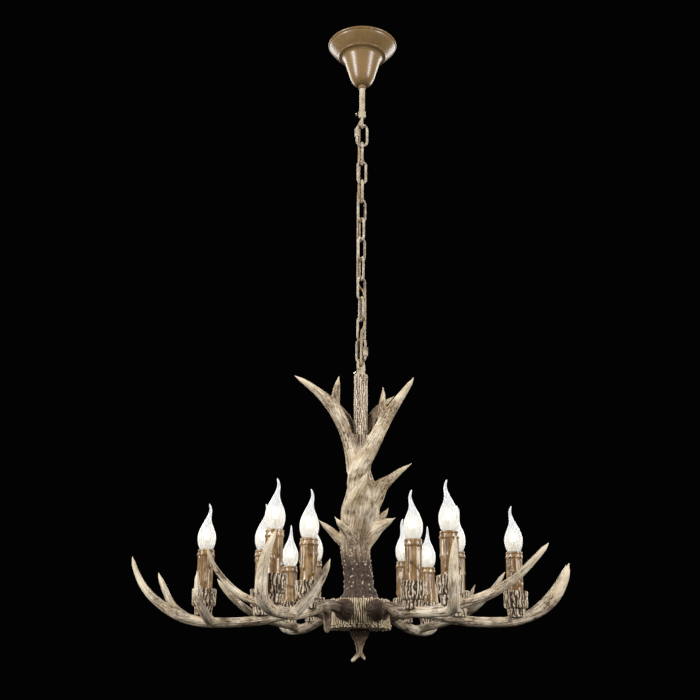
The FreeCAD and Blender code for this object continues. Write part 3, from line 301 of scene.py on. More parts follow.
def turned(outline, steps, closed=True):
    """A turned piece: half its outline, as radius and height in millimetres, spun about the axis."""
    bm = bmesh.new()
    points = [bm.verts.new((radius * MM, 0.0, height * MM)) for radius, height in outline]
    rims = [bm.edges.new(pair) for pair in zip(points, points[1:])]
    if closed:
        rims.append(bm.edges.new((points[-1], points[0])))
    bmesh.ops.spin(bm, geom=points + rims, cent=(0, 0, 0), axis=(0, 0, 1), angle=math.tau,
                   steps=steps, use_merge=True)
    bmesh.ops.remove_doubles(bm, verts=bm.verts, dist=2e-6)
    return bm


def at(x, y, z):
    """Place at a point in millimetres."""
    return Matrix.Translation((x * MM, y * MM, z * MM))


def about(degrees, axis="Z"):
    """Turn about an axis."""
    return Matrix.Rotation(math.radians(degrees), 4, axis)


def outward(turn):
    """Turn that lays an upright piece outward, at this angle about the axis."""
    return about(turn) @ about(90.0, "Y")


def stub(sides, low_radius, high_radius, low, high):
    """A straight piece on the axis with this many sides."""
    bm = bmesh.new()
    bmesh.ops.create_cone(bm, cap_ends=True, segments=sides, radius1=low_radius * MM,
                          radius2=high_radius * MM, depth=(high - low) * MM,
                          matrix=at(0, 0, 0.5 * (low + high)))
    return bm


def verts_of(geometry):
    """The vertices among the results of a mesh operation."""
    return [item for item in geometry if isinstance(item, bmesh.types.BMVert)]


def slotted_head(radius, height, slot_width, slot_depth):
    """A round screw head with a slot, its top at the origin and facing up."""
    bm = stub(28, radius, 0.86 * radius, -height, 0.0)
    half = 0.5 * slot_width * MM
    for side in (-half, half):
        whole = bm.verts[:] + bm.edges[:] + bm.faces[:]
        bmesh.ops.bisect_plane(bm, geom=whole, plane_co=(side, 0, 0), plane_no=(1, 0, 0), dist=1e-7)
    strip = [face for face in bm.faces
             if face.normal.z > 0.9 and abs(face.calc_center_median().x) < half]
    sunk = bmesh.ops.extrude_face_region(bm, geom=strip)["geom"]
    bmesh.ops.delete(bm, geom=strip, context="FACES_ONLY")
    bmesh.ops.translate(bm, verts=verts_of(sunk), vec=(0, 0, -slot_depth * MM))
    return bm


def merged(parts):
    """Several bmeshes as one."""
    whole = bmesh.new()
    for part in parts:
        step = bpy.data.meshes.new("step")
        part.to_mesh(step)
        part.free()
        whole.from_mesh(step)
        bpy.data.meshes.remove(step)
    return whole


def moved(bm, matrix):
    """A bmesh, put in its place."""
    bmesh.ops.transform(bm, matrix=matrix, verts=bm.verts)
    return bm


dress("ceiling_bracket", zinc)
dress("lock_nut", zinc)
dress("terminal_block", white_nylon)
terminal_screws = [moved(slotted_head(1.9, 0.8, 0.5, 0.4),
                         at(TERMINAL_FACE, along, TERMINAL_LEVEL) @ outward(0))
                   for along in TERMINAL_STEPS]
hang("terminal_screws", merged(terminal_screws), [aged_brass], "ceiling_mount")

# Down tube: a thin steel tube with a whitewashed, brown-rubbed paint. It carries the weight of the lamp
# from the strap, and a window inside the canopy lets the lead in.
TUBE_RADIUS = 6.0
TUBE_WALL = 1.25
WINDOW_HALF = 2.9
WINDOW_TOP = -28.0
WINDOW_LOW = -54.0
TUBE_LEVELS = [-2.5, WINDOW_TOP, -41.0, WINDOW_LOW, -90.0, -113.0, -130.0, -150.0, -172.0, -182.0]


def whitewash(name, low, middle, high):
    """Cream paint over brown, rubbed through in spots."""
    made = Finish(name)
    fine = made.cloud(420.0, 6.0, 0.7)
    base = made.ramp(made.cloud(70.0, 6.0, 0.65), [(0.30, low), (0.46, middle), (0.66, high)])
    made.colour(made.lay(base, tint(92, 70, 46), fine, (0.50, 0.0), (0.66, 0.85)))
    made.roughen(made.ramp(fine, [(0.3, 0.38), (0.7, 0.62)]))
    made.relief(made.cloud(650.0, 5.0, 0.6), 0.4, 0.4)
    return made


cream_paint = whitewash("cream_paint", tint(156, 136, 106), tint(196, 180, 150), tint(220, 208, 184))
tube_bm = turned([(TUBE_RADIUS, level) for level in TUBE_LEVELS], 60, closed=False)
window = []
for face in tube_bm.faces:
    middle = face.calc_center_median() / MM
    if middle.x > 0 and abs(middle.y) < WINDOW_HALF and WINDOW_LOW < middle.z < WINDOW_TOP:
        window.append(face)
bmesh.ops.delete(tube_bm, geom=window, context="FACES")
bmesh.ops.recalc_face_normals(tube_bm, faces=tube_bm.faces)
bmesh.ops.solidify(tube_bm, geom=tube_bm.faces[:], thickness=TUBE_WALL * MM)
hang("drop_tube", tube_bm, [cream_paint], "ceiling_mount", ["down_tube"])

# Canopy: spun steel sheet, a flat cone with a rolled lip that steps over two rings into a bell, in
# golden-brown speckled paint. It slides down the tube when its collar is loosened.
SHEET = 1.4
TUBE_HOLE = 6.4
bronze_paint = Finish("bronze_paint", Coat_Weight=0.35, Coat_Roughness=0.22)
paint_fleck = bronze_paint.cloud(560.0, 5.0, 0.75)
paint_base = bronze_paint.ramp(bronze_paint.cloud(26.0),
                               [(0.3, tint(128, 100, 62)), (0.7, tint(148, 118, 76))])
paint_gold = bronze_paint.lay(paint_base, tint(186, 152, 104), paint_fleck, (0.52, 0.0), (0.70, 0.75))
bronze_paint.colour(bronze_paint.lay(paint_gold, tint(84, 60, 32), paint_fleck, (0.30, 0.7), (0.44, 0.0)))
bronze_paint.roughen(bronze_paint.ramp(paint_fleck, [(0.3, 0.42), (0.7, 0.28)]))
bronze_paint.relief(bronze_paint.cloud(800.0, 3.0), 0.14, 0.25)


def smooth_run(stations, step):
    """Rows of a smooth run through stations, each a point and any values that go with it."""
    table = np.array(stations, float)
    gaps = np.linalg.norm(np.diff(table[:, :3], axis=0), axis=1)
    knots = np.concatenate([[0.0], np.cumsum(gaps)])
    slopes = np.empty_like(table)
    slopes[1:-1] = (table[2:] - table[:-2]) / (knots[2:] - knots[:-2])[:, None]
    slopes[0] = (table[1] - table[0]) / gaps[0]
    slopes[-1] = (table[-1] - table[-2]) / gaps[-1]
    rows = []
    for index, gap in enumerate(gaps):
        count = max(1, int(round(gap / step)))
        share = (np.arange(count) / count)[:, None]
        square = share * share
        cube = square * share
        rows.append((2 * cube - 3 * square + 1) * table[index]
                    + (cube - 2 * square + share) * gap * slopes[index]
                    + (3 * square - 2 * cube) * table[index + 1] + (cube - square) * gap * slopes[index + 1])
    rows.append(table[-1:])
    return np.vstack(rows)


def outline_run(points, step):
    """A smooth half outline through points of radius and height."""
    return [(row[0], row[1]) for row in smooth_run([(x, y, 0.0) for x, y in points], step)]


dish = [(76.5, -0.3), (77.0, -1.0), (77.0, -2.6), (76.5, -3.6), (75.6, -4.3), (74.4, -4.8), (73.6, -5.6),
        (73.3, -6.6)]
dish += outline_run([(72.9, -7.8), (69.4, -12.0), (64.6, -17.6), (59.6, -23.0), (55.2, -27.4)], 2.6)
dish += [(54.2, -28.2), (53.9, -29.2), (53.2, -30.2), (52.0, -30.9), (50.2, -31.2), (48.0, -31.9),
         (45.6, -33.0)]
bell = outline_run([(44.6, -33.6), (44.2, -34.4), (43.4, -35.2), (42.2, -36.6), (41.0, -39.8), (38.9, -46.0),
                    (36.6, -54.0), (33.0, -65.5), (27.4, -84.5), (23.6, -93.2), (20.5, -98.2), (16.6, -102.3),
                    (11.5, -104.9), (9.0, -105.0), (TUBE_HOLE, -105.0)], 2.4)
shell_outside = dish + bell
shell_inside = [(max(TUBE_HOLE, radius - SHEET), height + 0.5)
                for radius, height in shell_outside if height > -103.0]
shell_inside += [(16.0, -101.2), (11.6, -103.4), (TUBE_HOLE, -103.6)]
canopy_bm = turned([(75.5, 0.0)] + shell_outside + shell_inside[::-1], 112)
hang("bell_canopy", canopy_bm, [bronze_paint], "canopy", ["canopy"], 50.0)

# Canopy collar: a short turned ring painted like the canopy, held on the tube by a small bright screw.
# Loosened, it lets the canopy slide down.
collar_bm = turned([(6.15, -113.0), (7.6, -113.0), (8.3, -112.3), (8.3, -106.6), (7.9, -105.9), (7.9, -105.2),
                    (6.15, -105.2)], 48)
hang("canopy_ring", collar_bm, [bronze_paint], frame["nodes"]["canopy_collar"]["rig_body"],
     ["canopy_collar"])
bright_nickel = two_tone("bright_nickel", tint(168, 160, 146), tint(222, 216, 204), 500.0, dull=(0.36, 0.2),
                         Metallic=1.0)
collar_screw_bm = moved(slotted_head(1.98, 2.4, 0.6, 0.7),
                        about(-50.0) @ at(9.8, 0, -109.0) @ about(90.0, "Y"))
hang("ring_screw", collar_screw_bm, [bright_nickel], frame["nodes"]["collar_screw"]["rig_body"],
     ["collar_screw"])

# Top loop: a cast collar with two turned bands, screwed on the tube, and a wire eye under it. A thumb
# screw with a knurled head locks it.
WIRE_RADIUS = 2.5
EYE_HALF = 10.5
EYE_BAR = -209.5
SCREW_SHANK = 1.9
SCREW_HEAD = 11.5


def ring_edges(verts):
    """Edges that join the given vertices."""
    known = set(verts)
    return list({edge for vert in verts for edge in vert.link_edges if edge.other_vert(vert) in known})


def wire_start(bm, spot, radius=WIRE_RADIUS, square=0.0):
    """A flat ring of wire to draw out; square gives it four soft corners."""
    made = bmesh.ops.create_circle(bm, cap_ends=False, radius=radius * MM, segments=16)["verts"]
    for vert in made:
        vert.co *= 1.0 + square * math.cos(4 * math.atan2(vert.co.y, vert.co.x))
    bmesh.ops.transform(bm, matrix=at(*spot), verts=made)
    return made


def draw_out(bm, ring, rise, twist=0.0, swell=1.0):
    """Draw a ring of wire straight up or down, with a twist in degrees about its way."""
    fresh = verts_of(bmesh.ops.extrude_edge_only(bm, edges=ring_edges(ring))["geom"])
    centre = sum((vert.co for vert in fresh), Vector()) / len(fresh)
    way = Vector((0, 0, rise))
    spin = Matrix.Rotation(math.radians(twist), 4, way.normalized()) @ Matrix.Scale(swell, 4)
    change = Matrix.Translation(centre + way * MM) @ spin @ Matrix.Translation(-centre)
    bmesh.ops.transform(bm, matrix=change, verts=fresh)
    return fresh


def draw_leg(bm, ring, rise, swell):
    """Draw a ring of wire straight up or down, a little thicker half way."""
    for change in (swell, 1.0 / swell):
        ring = draw_out(bm, ring, 0.5 * rise, swell=change)
    return ring


def bend_round(bm, ring, level, way, steps=20):
    """Bend a ring of wire half round an axis along Y at this level."""
    made = bmesh.ops.spin(bm, geom=ring_edges(ring) + ring, cent=(0, 0, level * MM), axis=(0, way, 0),
                          angle=math.pi, steps=steps, use_merge=False)["geom_last"]
    return verts_of(made)


def eye_wire(base, bar):
    """A wire arch in the XZ plane from its base level to its bar."""
    bm = bmesh.new()
    sign = 1.0 if bar > base else -1.0
    centre = bar - sign * EYE_HALF
    ring = draw_leg(bm, wire_start(bm, (EYE_HALF, 0, base)), centre - base, 1.04)
    ring = bend_round(bm, ring, centre, -sign)
    draw_leg(bm, ring, base - centre, 1.04)
    bmesh.ops.holes_fill(bm, edges=bm.edges[:], sides=0)
    return bm


def soften(bm, edges, size, segments=3):
    """Round edges off, by a size in millimetres."""
    bmesh.ops.bevel(bm, geom=edges, offset=size * MM, segments=segments, profile=0.5, affect="EDGES",
                    material=-1)


def cross_bar(length, width, level):
    """The bar across a collar that carries its wire eye, with rounded edges."""
    bm = bmesh.new()
    bmesh.ops.create_cube(bm, size=1.0,
                          matrix=at(0, 0, level) @ Matrix.Diagonal((length * MM, width * MM, 4.0 * MM, 1.0)))
    soften(bm, bm.edges[:], 1.4)
    return bm


def upright(edge):
    """Whether an edge of a stub runs along the axis."""
    return abs(edge.verts[0].co.z - edge.verts[1].co.z) > 1e-7


def knurled_screw(start, level, turn):
    """A thumb screw that points outward: round shank and a knurled flat head."""
    head = stub(40, 4.6, 4.3, SCREW_HEAD, SCREW_HEAD + 3.0)
    soften(head, [edge for edge in head.edges if not upright(edge)], 0.9)
    for vert in head.verts:
        if vert.co.xy.length > 3.9 * MM:
            cut = 1.0 - 0.05 * (0.5 - 0.5 * math.cos(20 * math.atan2(vert.co.y, vert.co.x)))
            vert.co.x *= cut
            vert.co.y *= cut
    neck = stub(24, SCREW_SHANK, SCREW_SHANK, start - 0.2, SCREW_HEAD + 0.2)
    return moved(merged([head, neck]), at(0, 0, level) @ outward(turn))


top_collar = turned([(6.15, -172.0), (7.6, -172.0), (8.3, -172.6), (8.5, -173.6), (8.3, -174.6),
                     (7.7, -175.4), (7.7, -179.0), (8.3, -179.8), (8.5, -180.8), (8.3, -181.8), (7.7, -182.6),
                     (7.3, -184.4), (6.4, -186.2), (4.4, -187.0), (3.7, -187.0), (3.7, -182.0),
                     (6.15, -182.0)], 56)
top_eye = moved(eye_wire(-186.5, EYE_BAR), about(90.0))
hang("upper_loop", merged([top_collar, cross_bar(5.0, 26.0, -185.0), top_eye]), [cream_paint],
     "ceiling_mount", ["top_loop"])
hang("upper_thumb_screw", knurled_screw(6.1, -177.0, 180.0), [bright_nickel], "top_screw",
     ["top_loop_screw"])

# Quick links: bent wire rings with one open leg, closed by a six-sided sleeve that screws down over the
# gap. One hangs in the top loop and one carries the fixture.
BAR_LIFT = WIRE_RADIUS + 0.3
QUICK_PITCH = 46.7
QUICK_HALF = 11.5
QUICK_INSIDE = 47.0
QUICK_TOP = -QUICK_HALF + WIRE_RADIUS
QUICK_FOOT = -QUICK_INSIDE + QUICK_HALF - WIRE_RADIUS
QUICK_GAP = 5.5
SLEEVE_RADIUS = 5.4
SLEEVE_LENGTH = 18.0
chain_paint = whitewash("chain_paint", tint(120, 102, 80), tint(176, 158, 132), tint(228, 214, 192))


def quick_link(gap_low):
    """A quick link under the origin, in the XZ plane, with its gap on the left leg from this height."""
    bm = bmesh.new()
    start = wire_start(bm, (QUICK_HALF, 0, QUICK_TOP))
    ring = draw_leg(bm, start, QUICK_FOOT - QUICK_TOP, 1.03)
    ring = bend_round(bm, ring, QUICK_FOOT, 1.0)
    ring = draw_out(bm, ring, gap_low - QUICK_FOOT)
    bmesh.ops.contextual_create(bm, geom=ring_edges(ring))
    ring = bend_round(bm, start, QUICK_TOP, -1.0)
    ring = draw_out(bm, ring, gap_low + QUICK_GAP - QUICK_TOP)
    bmesh.ops.contextual_create(bm, geom=ring_edges(ring))
    return bm


def link_sleeve(low):
    """The six-sided sleeve on the left leg of a quick link, from this height."""
    bm = stub(6, SLEEVE_RADIUS, SLEEVE_RADIUS, low, low + SLEEVE_LENGTH)
    soften(bm, [edge for edge in bm.edges if upright(edge)], 0.5, 2)
    for inset, rise in ((0.7, 0.5), (1.3, 0.0)):
        ends = [face for face in bm.faces if abs(face.normal.z) > 0.9]
        bmesh.ops.inset_region(bm, faces=ends, thickness=inset * MM, depth=rise * MM)
    return moved(bm, at(-QUICK_HALF, 0, 0))


def hung(level, turn):
    """Place of a hanging piece under the bar at this level, turned about the axis."""
    return at(0, 0, level + BAR_LIFT) @ about(turn)


def hang_quick_link(end, cad_end, place, gap_low, sleeve_low):
    """Put a quick link and its sleeve in their place at one end of the chain."""
    hang(end + "_quick_ring", moved(quick_link(gap_low), place), [chain_paint], end + "_quick_link",
         [cad_end + "_quick_link"])
    hang(end + "_ring_sleeve", moved(link_sleeve(sleeve_low), place), [chain_paint], end + "_sleeve",
         [cad_end + "_link_sleeve"], 30.0)


hang_quick_link("upper", "top", hung(EYE_BAR, 8.0), -16.5, -27.5)

# Chain: ten long links of soft-cornered wire, twisted along their legs and welded on one side, painted
# like the tube. Each hangs about a quarter turn to the next.
LINK_PITCH = 45.5
LINK_HALF = 9.0
LINK_INSIDE = 45.8
LINK_TURNS = [96, 10, 100, 34, 122, 42, 118, 36, 114, 36]
LINK_STEPS = 12
LINK_WIRE = 2.4
WELD_SWELL = {5: 1.12, 7: 1.0 / 1.12}


def twisted_link():
    """A welded chain link under the origin, in the XZ plane."""
    bm = bmesh.new()
    top = -LINK_HALF + WIRE_RADIUS
    foot = -LINK_INSIDE + LINK_HALF - WIRE_RADIUS
    ring = wire_start(bm, (LINK_HALF, 0, top), LINK_WIRE, 0.10)
    for step in range(LINK_STEPS):
        ring = draw_out(bm, ring, (foot - top) / LINK_STEPS, 360.0 / LINK_STEPS, WELD_SWELL.get(step, 1.0))
    ring = bend_round(bm, ring, foot, 1.0, 16)
    for step in range(LINK_STEPS):
        ring = draw_out(bm, ring, (top - foot) / LINK_STEPS, 360.0 / LINK_STEPS)
    bend_round(bm, ring, top, 1.0, 16)
    bmesh.ops.remove_doubles(bm, verts=bm.verts, dist=2e-5)
    return bm


bars = [EYE_BAR, EYE_BAR - QUICK_PITCH]
for number, turn in enumerate(LINK_TURNS, start=1):
    hang("twisted_link_%02d" % number, moved(twisted_link(), hung(bars[-1], turn)), [chain_paint],
         "link_%02d" % number, ["chain_link_%02d" % number], 60.0)
    bars.append(bars[-1] - LINK_PITCH)
hang_quick_link("lower", "bottom", hung(bars[-1], 140.0), QUICK_FOOT + 2.0, QUICK_FOOT + 0.5)
FIXTURE_BAR = bars[-1] - QUICK_PITCH
bars.append(FIXTURE_BAR)

# Flex cable: the mains lead in a tan sheath. It leaves the terminal block, goes down the tube,
# beside the chain at the left, through the eighth link to the right and the front, and down the rod.
CABLE_RADIUS = 2.4
CABLE_HIGH = -193.0
CABLE_LOW = -779.0
ROD_MOUTH = FIXTURE_BAR - 14.2
sheath = two_tone("yellowed_sheath", tint(138, 112, 70), tint(186, 158, 110), 300.0, stretch=(1.0, 1.0, 0.25),
                  dull=(0.4, 0.26), Coat_Weight=0.3, Coat_Roughness=0.2)
sheath.relief(sheath.cloud(700.0, 2.0, stretch=(1.0, 1.0, 0.15)), 0.15, 0.2)


def quarter_bend(start, corner, end):
    """Points of a round bend from start to end about a square corner."""
    start, corner, end = (np.array(spot, float) for spot in (start, corner, end))
    turns = np.linspace(0.0, 0.5 * math.pi, 9)[:, None]
    return corner + (start - corner) * (1.0 - np.sin(turns)) + (end - corner) * (1.0 - np.cos(turns))


def sway(start, end):
    """Points of two bends that carry the cable from one upright run to another beside it."""
    start, end = np.array(start, float), np.array(end, float)
    across = end[:2] - start[:2]
    fall = start[2] - end[2]
    reach = np.linalg.norm(across)
    bend = fall / (2.0 * math.sin(2.0 * math.atan2(reach, fall)))
    rows = []
    for share in np.linspace(0.0, 1.0, 25):
        drop = min(share, 1.0 - share) * fall
        off = bend - math.sqrt(bend * bend - drop * drop)
        off = off if share < 0.5 else reach - off
        rows.append((*(start[:2] + across * (off / reach)), start[2] - share * fall))
    return np.array(rows)


def beside_chain(turn, out, level):
    """A point of the cable beside the chain."""
    return (out * math.cos(math.radians(turn)), out * math.sin(math.radians(turn)), level)


CABLE_RUNS = [(142, 7.8, -201.3, -349.7), (171, 7.8, -387.4, -578.2), (352, 7.8, -613.2, -669.0),
              (272, 10.0, -703.0, -759.4)]
cable_rows = [[(26, 0, -12.5)], quarter_bend((26, 0, -30), (26, 0, -39), (17, 0, -39)),
              quarter_bend((9, 0, -39), (0, 0, -39), (0, 0, -48)), [(0, 0, -100)]]
last = (0, 0, -186)
for turn, out, high, low in CABLE_RUNS:
    cable_rows.append(sway(last, beside_chain(turn, out, high)))
    last = beside_chain(turn, out, low)
cable_rows += [sway(last, (0, 0, ROD_MOUTH)), [(0, 0, -1000)],
               quarter_bend((0, 0, -1270.6), (0, 0, -1279.6), (9, 0, -1279.6)), [(23, 0, -1279.6)]]
cable_line = np.vstack(cable_rows)


def carried_frames(rows):
    """Frames along a run, carried on without twist: way, side and cross at each row."""
    ways = np.gradient(rows[:, :3], axis=0)
    ways /= np.linalg.norm(ways, axis=1)[:, None]
    side = np.cross(ways[0], (0.31, 0.92, 0.24) if abs(ways[0][2]) > 0.8 else (0.1, 0.2, 0.97))
    sides = []
    for way in ways:
        side = side - way * np.dot(side, way)
        side /= np.linalg.norm(side)
        sides.append(side)
    sides = np.array(sides)
    return ways, sides, np.cross(ways, sides)


def ring_places(rows):
    """Matrices that put a flat ring of radius one at each row of point and radius."""
    places = []
    for row, way, side, cross in zip(rows, *carried_frames(rows)):
        turn = np.stack([side, cross, way], axis=1) * (max(row[3], 0.3) * MM)
        places.append(Matrix([[*turn[axis], row[axis] * MM] for axis in range(3)] + [[0, 0, 0, 1]]))
    return places


def drawn(rows, sides, cap=True):
    """A round piece drawn out ring by ring along rows of point and radius."""
    bm = bmesh.new()
    places = ring_places(rows)
    ring = bmesh.ops.create_circle(bm, cap_ends=cap, radius=1.0, segments=sides, matrix=places[0])["verts"]
    edges = ring_edges(ring)
    for last, place in zip(places, places[1:]):
        fresh = verts_of(bmesh.ops.extrude_edge_only(bm, edges=edges)["geom"])
        bmesh.ops.transform(bm, matrix=place @ last.inverted(), verts=fresh)
        edges = ring_edges(fresh)
    if cap:
        bmesh.ops.contextual_create(bm, geom=edges)
    return bm


def crossing(level):
    """The point where the cable passes a level."""
    above = np.nonzero((cable_line[:-1, 2] > level) & (cable_line[1:, 2] <= level))[0][0]
    first, second = cable_line[above:above + 2]
    return first + (second - first) * ((first[2] - level) / (first[2] - second[2]))


def cable_stretch(high=math.inf, low=-math.inf):
    """The cable between two levels, or from its start or to its end."""
    levels = cable_line[:, 2]
    rows = [cable_line[(levels < high) & (levels > low)]]
    if high < math.inf:
        rows.insert(0, crossing(high))
    if low > -math.inf:
        rows.append(crossing(low))
    line = np.vstack(rows)
    return drawn(smooth_run(np.hstack([line, np.full((len(line), 1), CABLE_RADIUS)]), 4.0), 16)


hang("cable_in_tube", cable_stretch(low=CABLE_HIGH), [sheath], "ceiling_mount",
     ["flex_cable"])
chain_bodies = ["ceiling_mount", "upper_quick_link"]
chain_bodies += ["link_%02d" % (number + 1) for number in range(len(LINK_TURNS))]
chain_bodies += ["lower_quick_link", "fixture"]
cable_cuts = [CABLE_HIGH] + [0.5 * (first + second) for first, second in zip(bars, bars[1:])] + [CABLE_LOW]
for number, (high, low) in enumerate(zip(cable_cuts, cable_cuts[1:])):
    stretch = hang("cable_stretch_%02d" % (number + 1), cable_stretch(high, low), [sheath], None,
                   ["flex_cable"])
    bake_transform(stretch)
hang("cable_in_rod", cable_stretch(high=CABLE_LOW), [sheath], "fixture", ["flex_cable"])

# Body loop: a flanged, banded collar on the top of the hollow rod with a wire arch that hangs in the lower
# quick link, and its bright thumb screw at the left.
ARCH_RISE = 33.0
STEM_TOP = FIXTURE_BAR + WIRE_RADIUS + BAR_LIFT - ARCH_RISE
COLLAR_HEAD = STEM_TOP + 15.0
collar_bands = [(5.15, 0.0), (9.6, 0.0), (10.0, 0.6), (10.0, 1.9), (9.4, 2.5), (8.2, 2.9), (7.9, 3.6),
                (7.9, 5.0), (8.4, 5.5), (8.5, 6.2), (8.4, 6.9), (7.9, 7.4), (7.9, 8.8), (8.4, 9.3),
                (8.5, 10.0), (8.4, 10.7), (7.9, 11.2), (7.9, 12.4), (8.3, 12.9), (8.3, 14.2), (7.7, 15.0),
                (5.15, 15.0)]


def raised(outline, level):
    """An outline lifted to a level."""
    return [(radius, level + rise) for radius, rise in outline]


arch = merged([cross_bar(26.0, 5.0, COLLAR_HEAD - 2.0), eye_wire(COLLAR_HEAD - 1.0, STEM_TOP + ARCH_RISE)])
hang("fixture_loop", merged([turned(raised(collar_bands, STEM_TOP), 56), moved(arch, about(54.0))]),
     [cream_paint], "fixture", ["body_loop"])
hang("lower_thumb_screw", knurled_screw(5.1, STEM_TOP + 5.6, 160.0), [bright_nickel], "body_screw",
     ["body_loop_screw"])

# Stem cover: a cast resin tube with a bark face, cream on its ridges and dark brown in its cracks, slipped
# over the hollow rod between the loop and the forks.
STEM_LENGTH = 129.0
STEM_LOW = STEM_TOP - STEM_LENGTH


def bark_finish(name, low, middle, high, streak, crack):
    """Cast bark: rubbed pale on the ridges, brown on their flanks and dark in the cracks between."""
    made = Finish(name, Specular_IOR_Level=0.3)
    depth = made.marked("depth")
    grain = made.cloud(620.0, 6.0, 0.65, (1.0, 1.0, 0.2))
    patch = made.cloud(150.0, 5.0, 0.65, (1.0, 1.0, 0.35))
    ridge = made.ramp(patch, [(0.36, low), (0.50, middle), (0.62, high)])
    worn = made.sums("ADD", depth, made.sums("MULTIPLY", grain, 0.5))
    flank = made.lay(ridge, streak, worn, (0.38, 0.0), (0.72, 0.9))
    made.colour(made.lay(flank, crack, depth, (0.48, 0.0), (0.90, 0.95)))
    made.roughen(made.ramp(depth, [(0.0, 0.54), (0.6, 0.85)]))
    made.relief(grain, 0.45, 0.6)
    return made


bark = bark_finish("bark_resin", tint(188, 169, 142), tint(220, 204, 178), tint(240, 228, 208),
                   tint(136, 111, 84), tint(56, 43, 35))


def eased(value, low, high):
    """Zero below low, one above high, smooth between."""
    share = min(1.0, max(0.0, (value - low) / (high - low)))
    return share * share * (3.0 - 2.0 * share)


def bark_face(bm, centre, floor_radius, ridge, count, gape, seed, notched=1.0):
    """Press a bark face into the outside of a turned piece: upright wavy ridges with cracks between."""
    mark = bm.verts.layers.float.get("depth") or bm.verts.layers.float.new("depth")
    for vert in bm.verts:
        x = vert.co.x / MM - centre[0]
        y = vert.co.y / MM - centre[1]
        reach = math.hypot(x, y)
        if reach < floor_radius:
            vert[mark] = 0.45
            continue
        level = vert.co.z / MM
        way = Vector((x / reach, y / reach, 0.0))
        drift = noise.noise(2.4 * way + Vector((seed, 0.0, level / 12.0)))
        drift += 0.6 * noise.noise(0.4 * count * way + Vector((0.0, seed, level / 26.0)))
        place = count * math.atan2(y, x) / math.tau + 0.65 * drift
        edge = 0.5 - abs(place - math.floor(place) - 0.5)
        chip = noise.noise(Vector((x / 1.9, y / 1.9, level / 3.6 + seed)))
        notch = notched * max(0.0, noise.noise(Vector((x / 3.2, y / 3.2, level / 2.3 + 3.0 * seed))) - 0.12)
        crack = 1.0 - eased(edge + 0.14 * chip, 0.2 * gape, gape)
        lift = ridge * (0.30 + 0.25 * chip - 1.1 * crack - 0.9 * notch)
        vert.co.x = (centre[0] + x * (reach + lift) / reach) * MM
        vert.co.y = (centre[1] + y * (reach + lift) / reach) * MM
        vert[mark] = min(1.0, 0.95 * crack + 1.3 * notch + 0.35 * max(0.0, -chip - 0.1))


stem_outline = [(5.3, 0.0), (13.2, 0.0), (13.5, 1.2)]
stem_outline += [(13.5 + 0.25 * math.sin(0.11 * step), 2.0 + step) for step in range(125)]
stem_outline += [(13.5, STEM_LENGTH - 0.9), (12.9, STEM_LENGTH), (5.3, STEM_LENGTH)]
stem_bm = turned(raised(stem_outline, STEM_LOW), 168)
bark_face(stem_bm, (0, 0), 11.0, 0.9, 21, 0.30, 3.7)
hang("bark_stem", stem_bm, [bark], "fixture", ["stem_cover"], 70.0)

# Hollow rod, nut and connector: the steel rod that carries hub and finial, the nut that clamps the hub,
# and the junction block for the arm leads. All are closed in by the castings.
for node in ("centre_rod", "rod_nut", "arm_bolts", "holder_nipples"):
    dress(node, zinc)
dress("hub_connector", white_nylon)

# Trunk: a cast resin antler stump, grooved along its length, cream on the ridges and brown in the grooves,
# with a dark pearled burr at its foot, four forks round the stem and six tines on its sides.
TRUNK_HEIGHT = 316.0
HUB_TOP = STEM_LOW - TRUNK_HEIGHT
TRUNK_DARK = 140
TRUNK_BURR = 90
LEAST_RADIUS = 2.3
PALE_END = 0.28
POINT_LENGTH = 16.0
LONG_LIMB = 66.0
FINE_END = 4.0


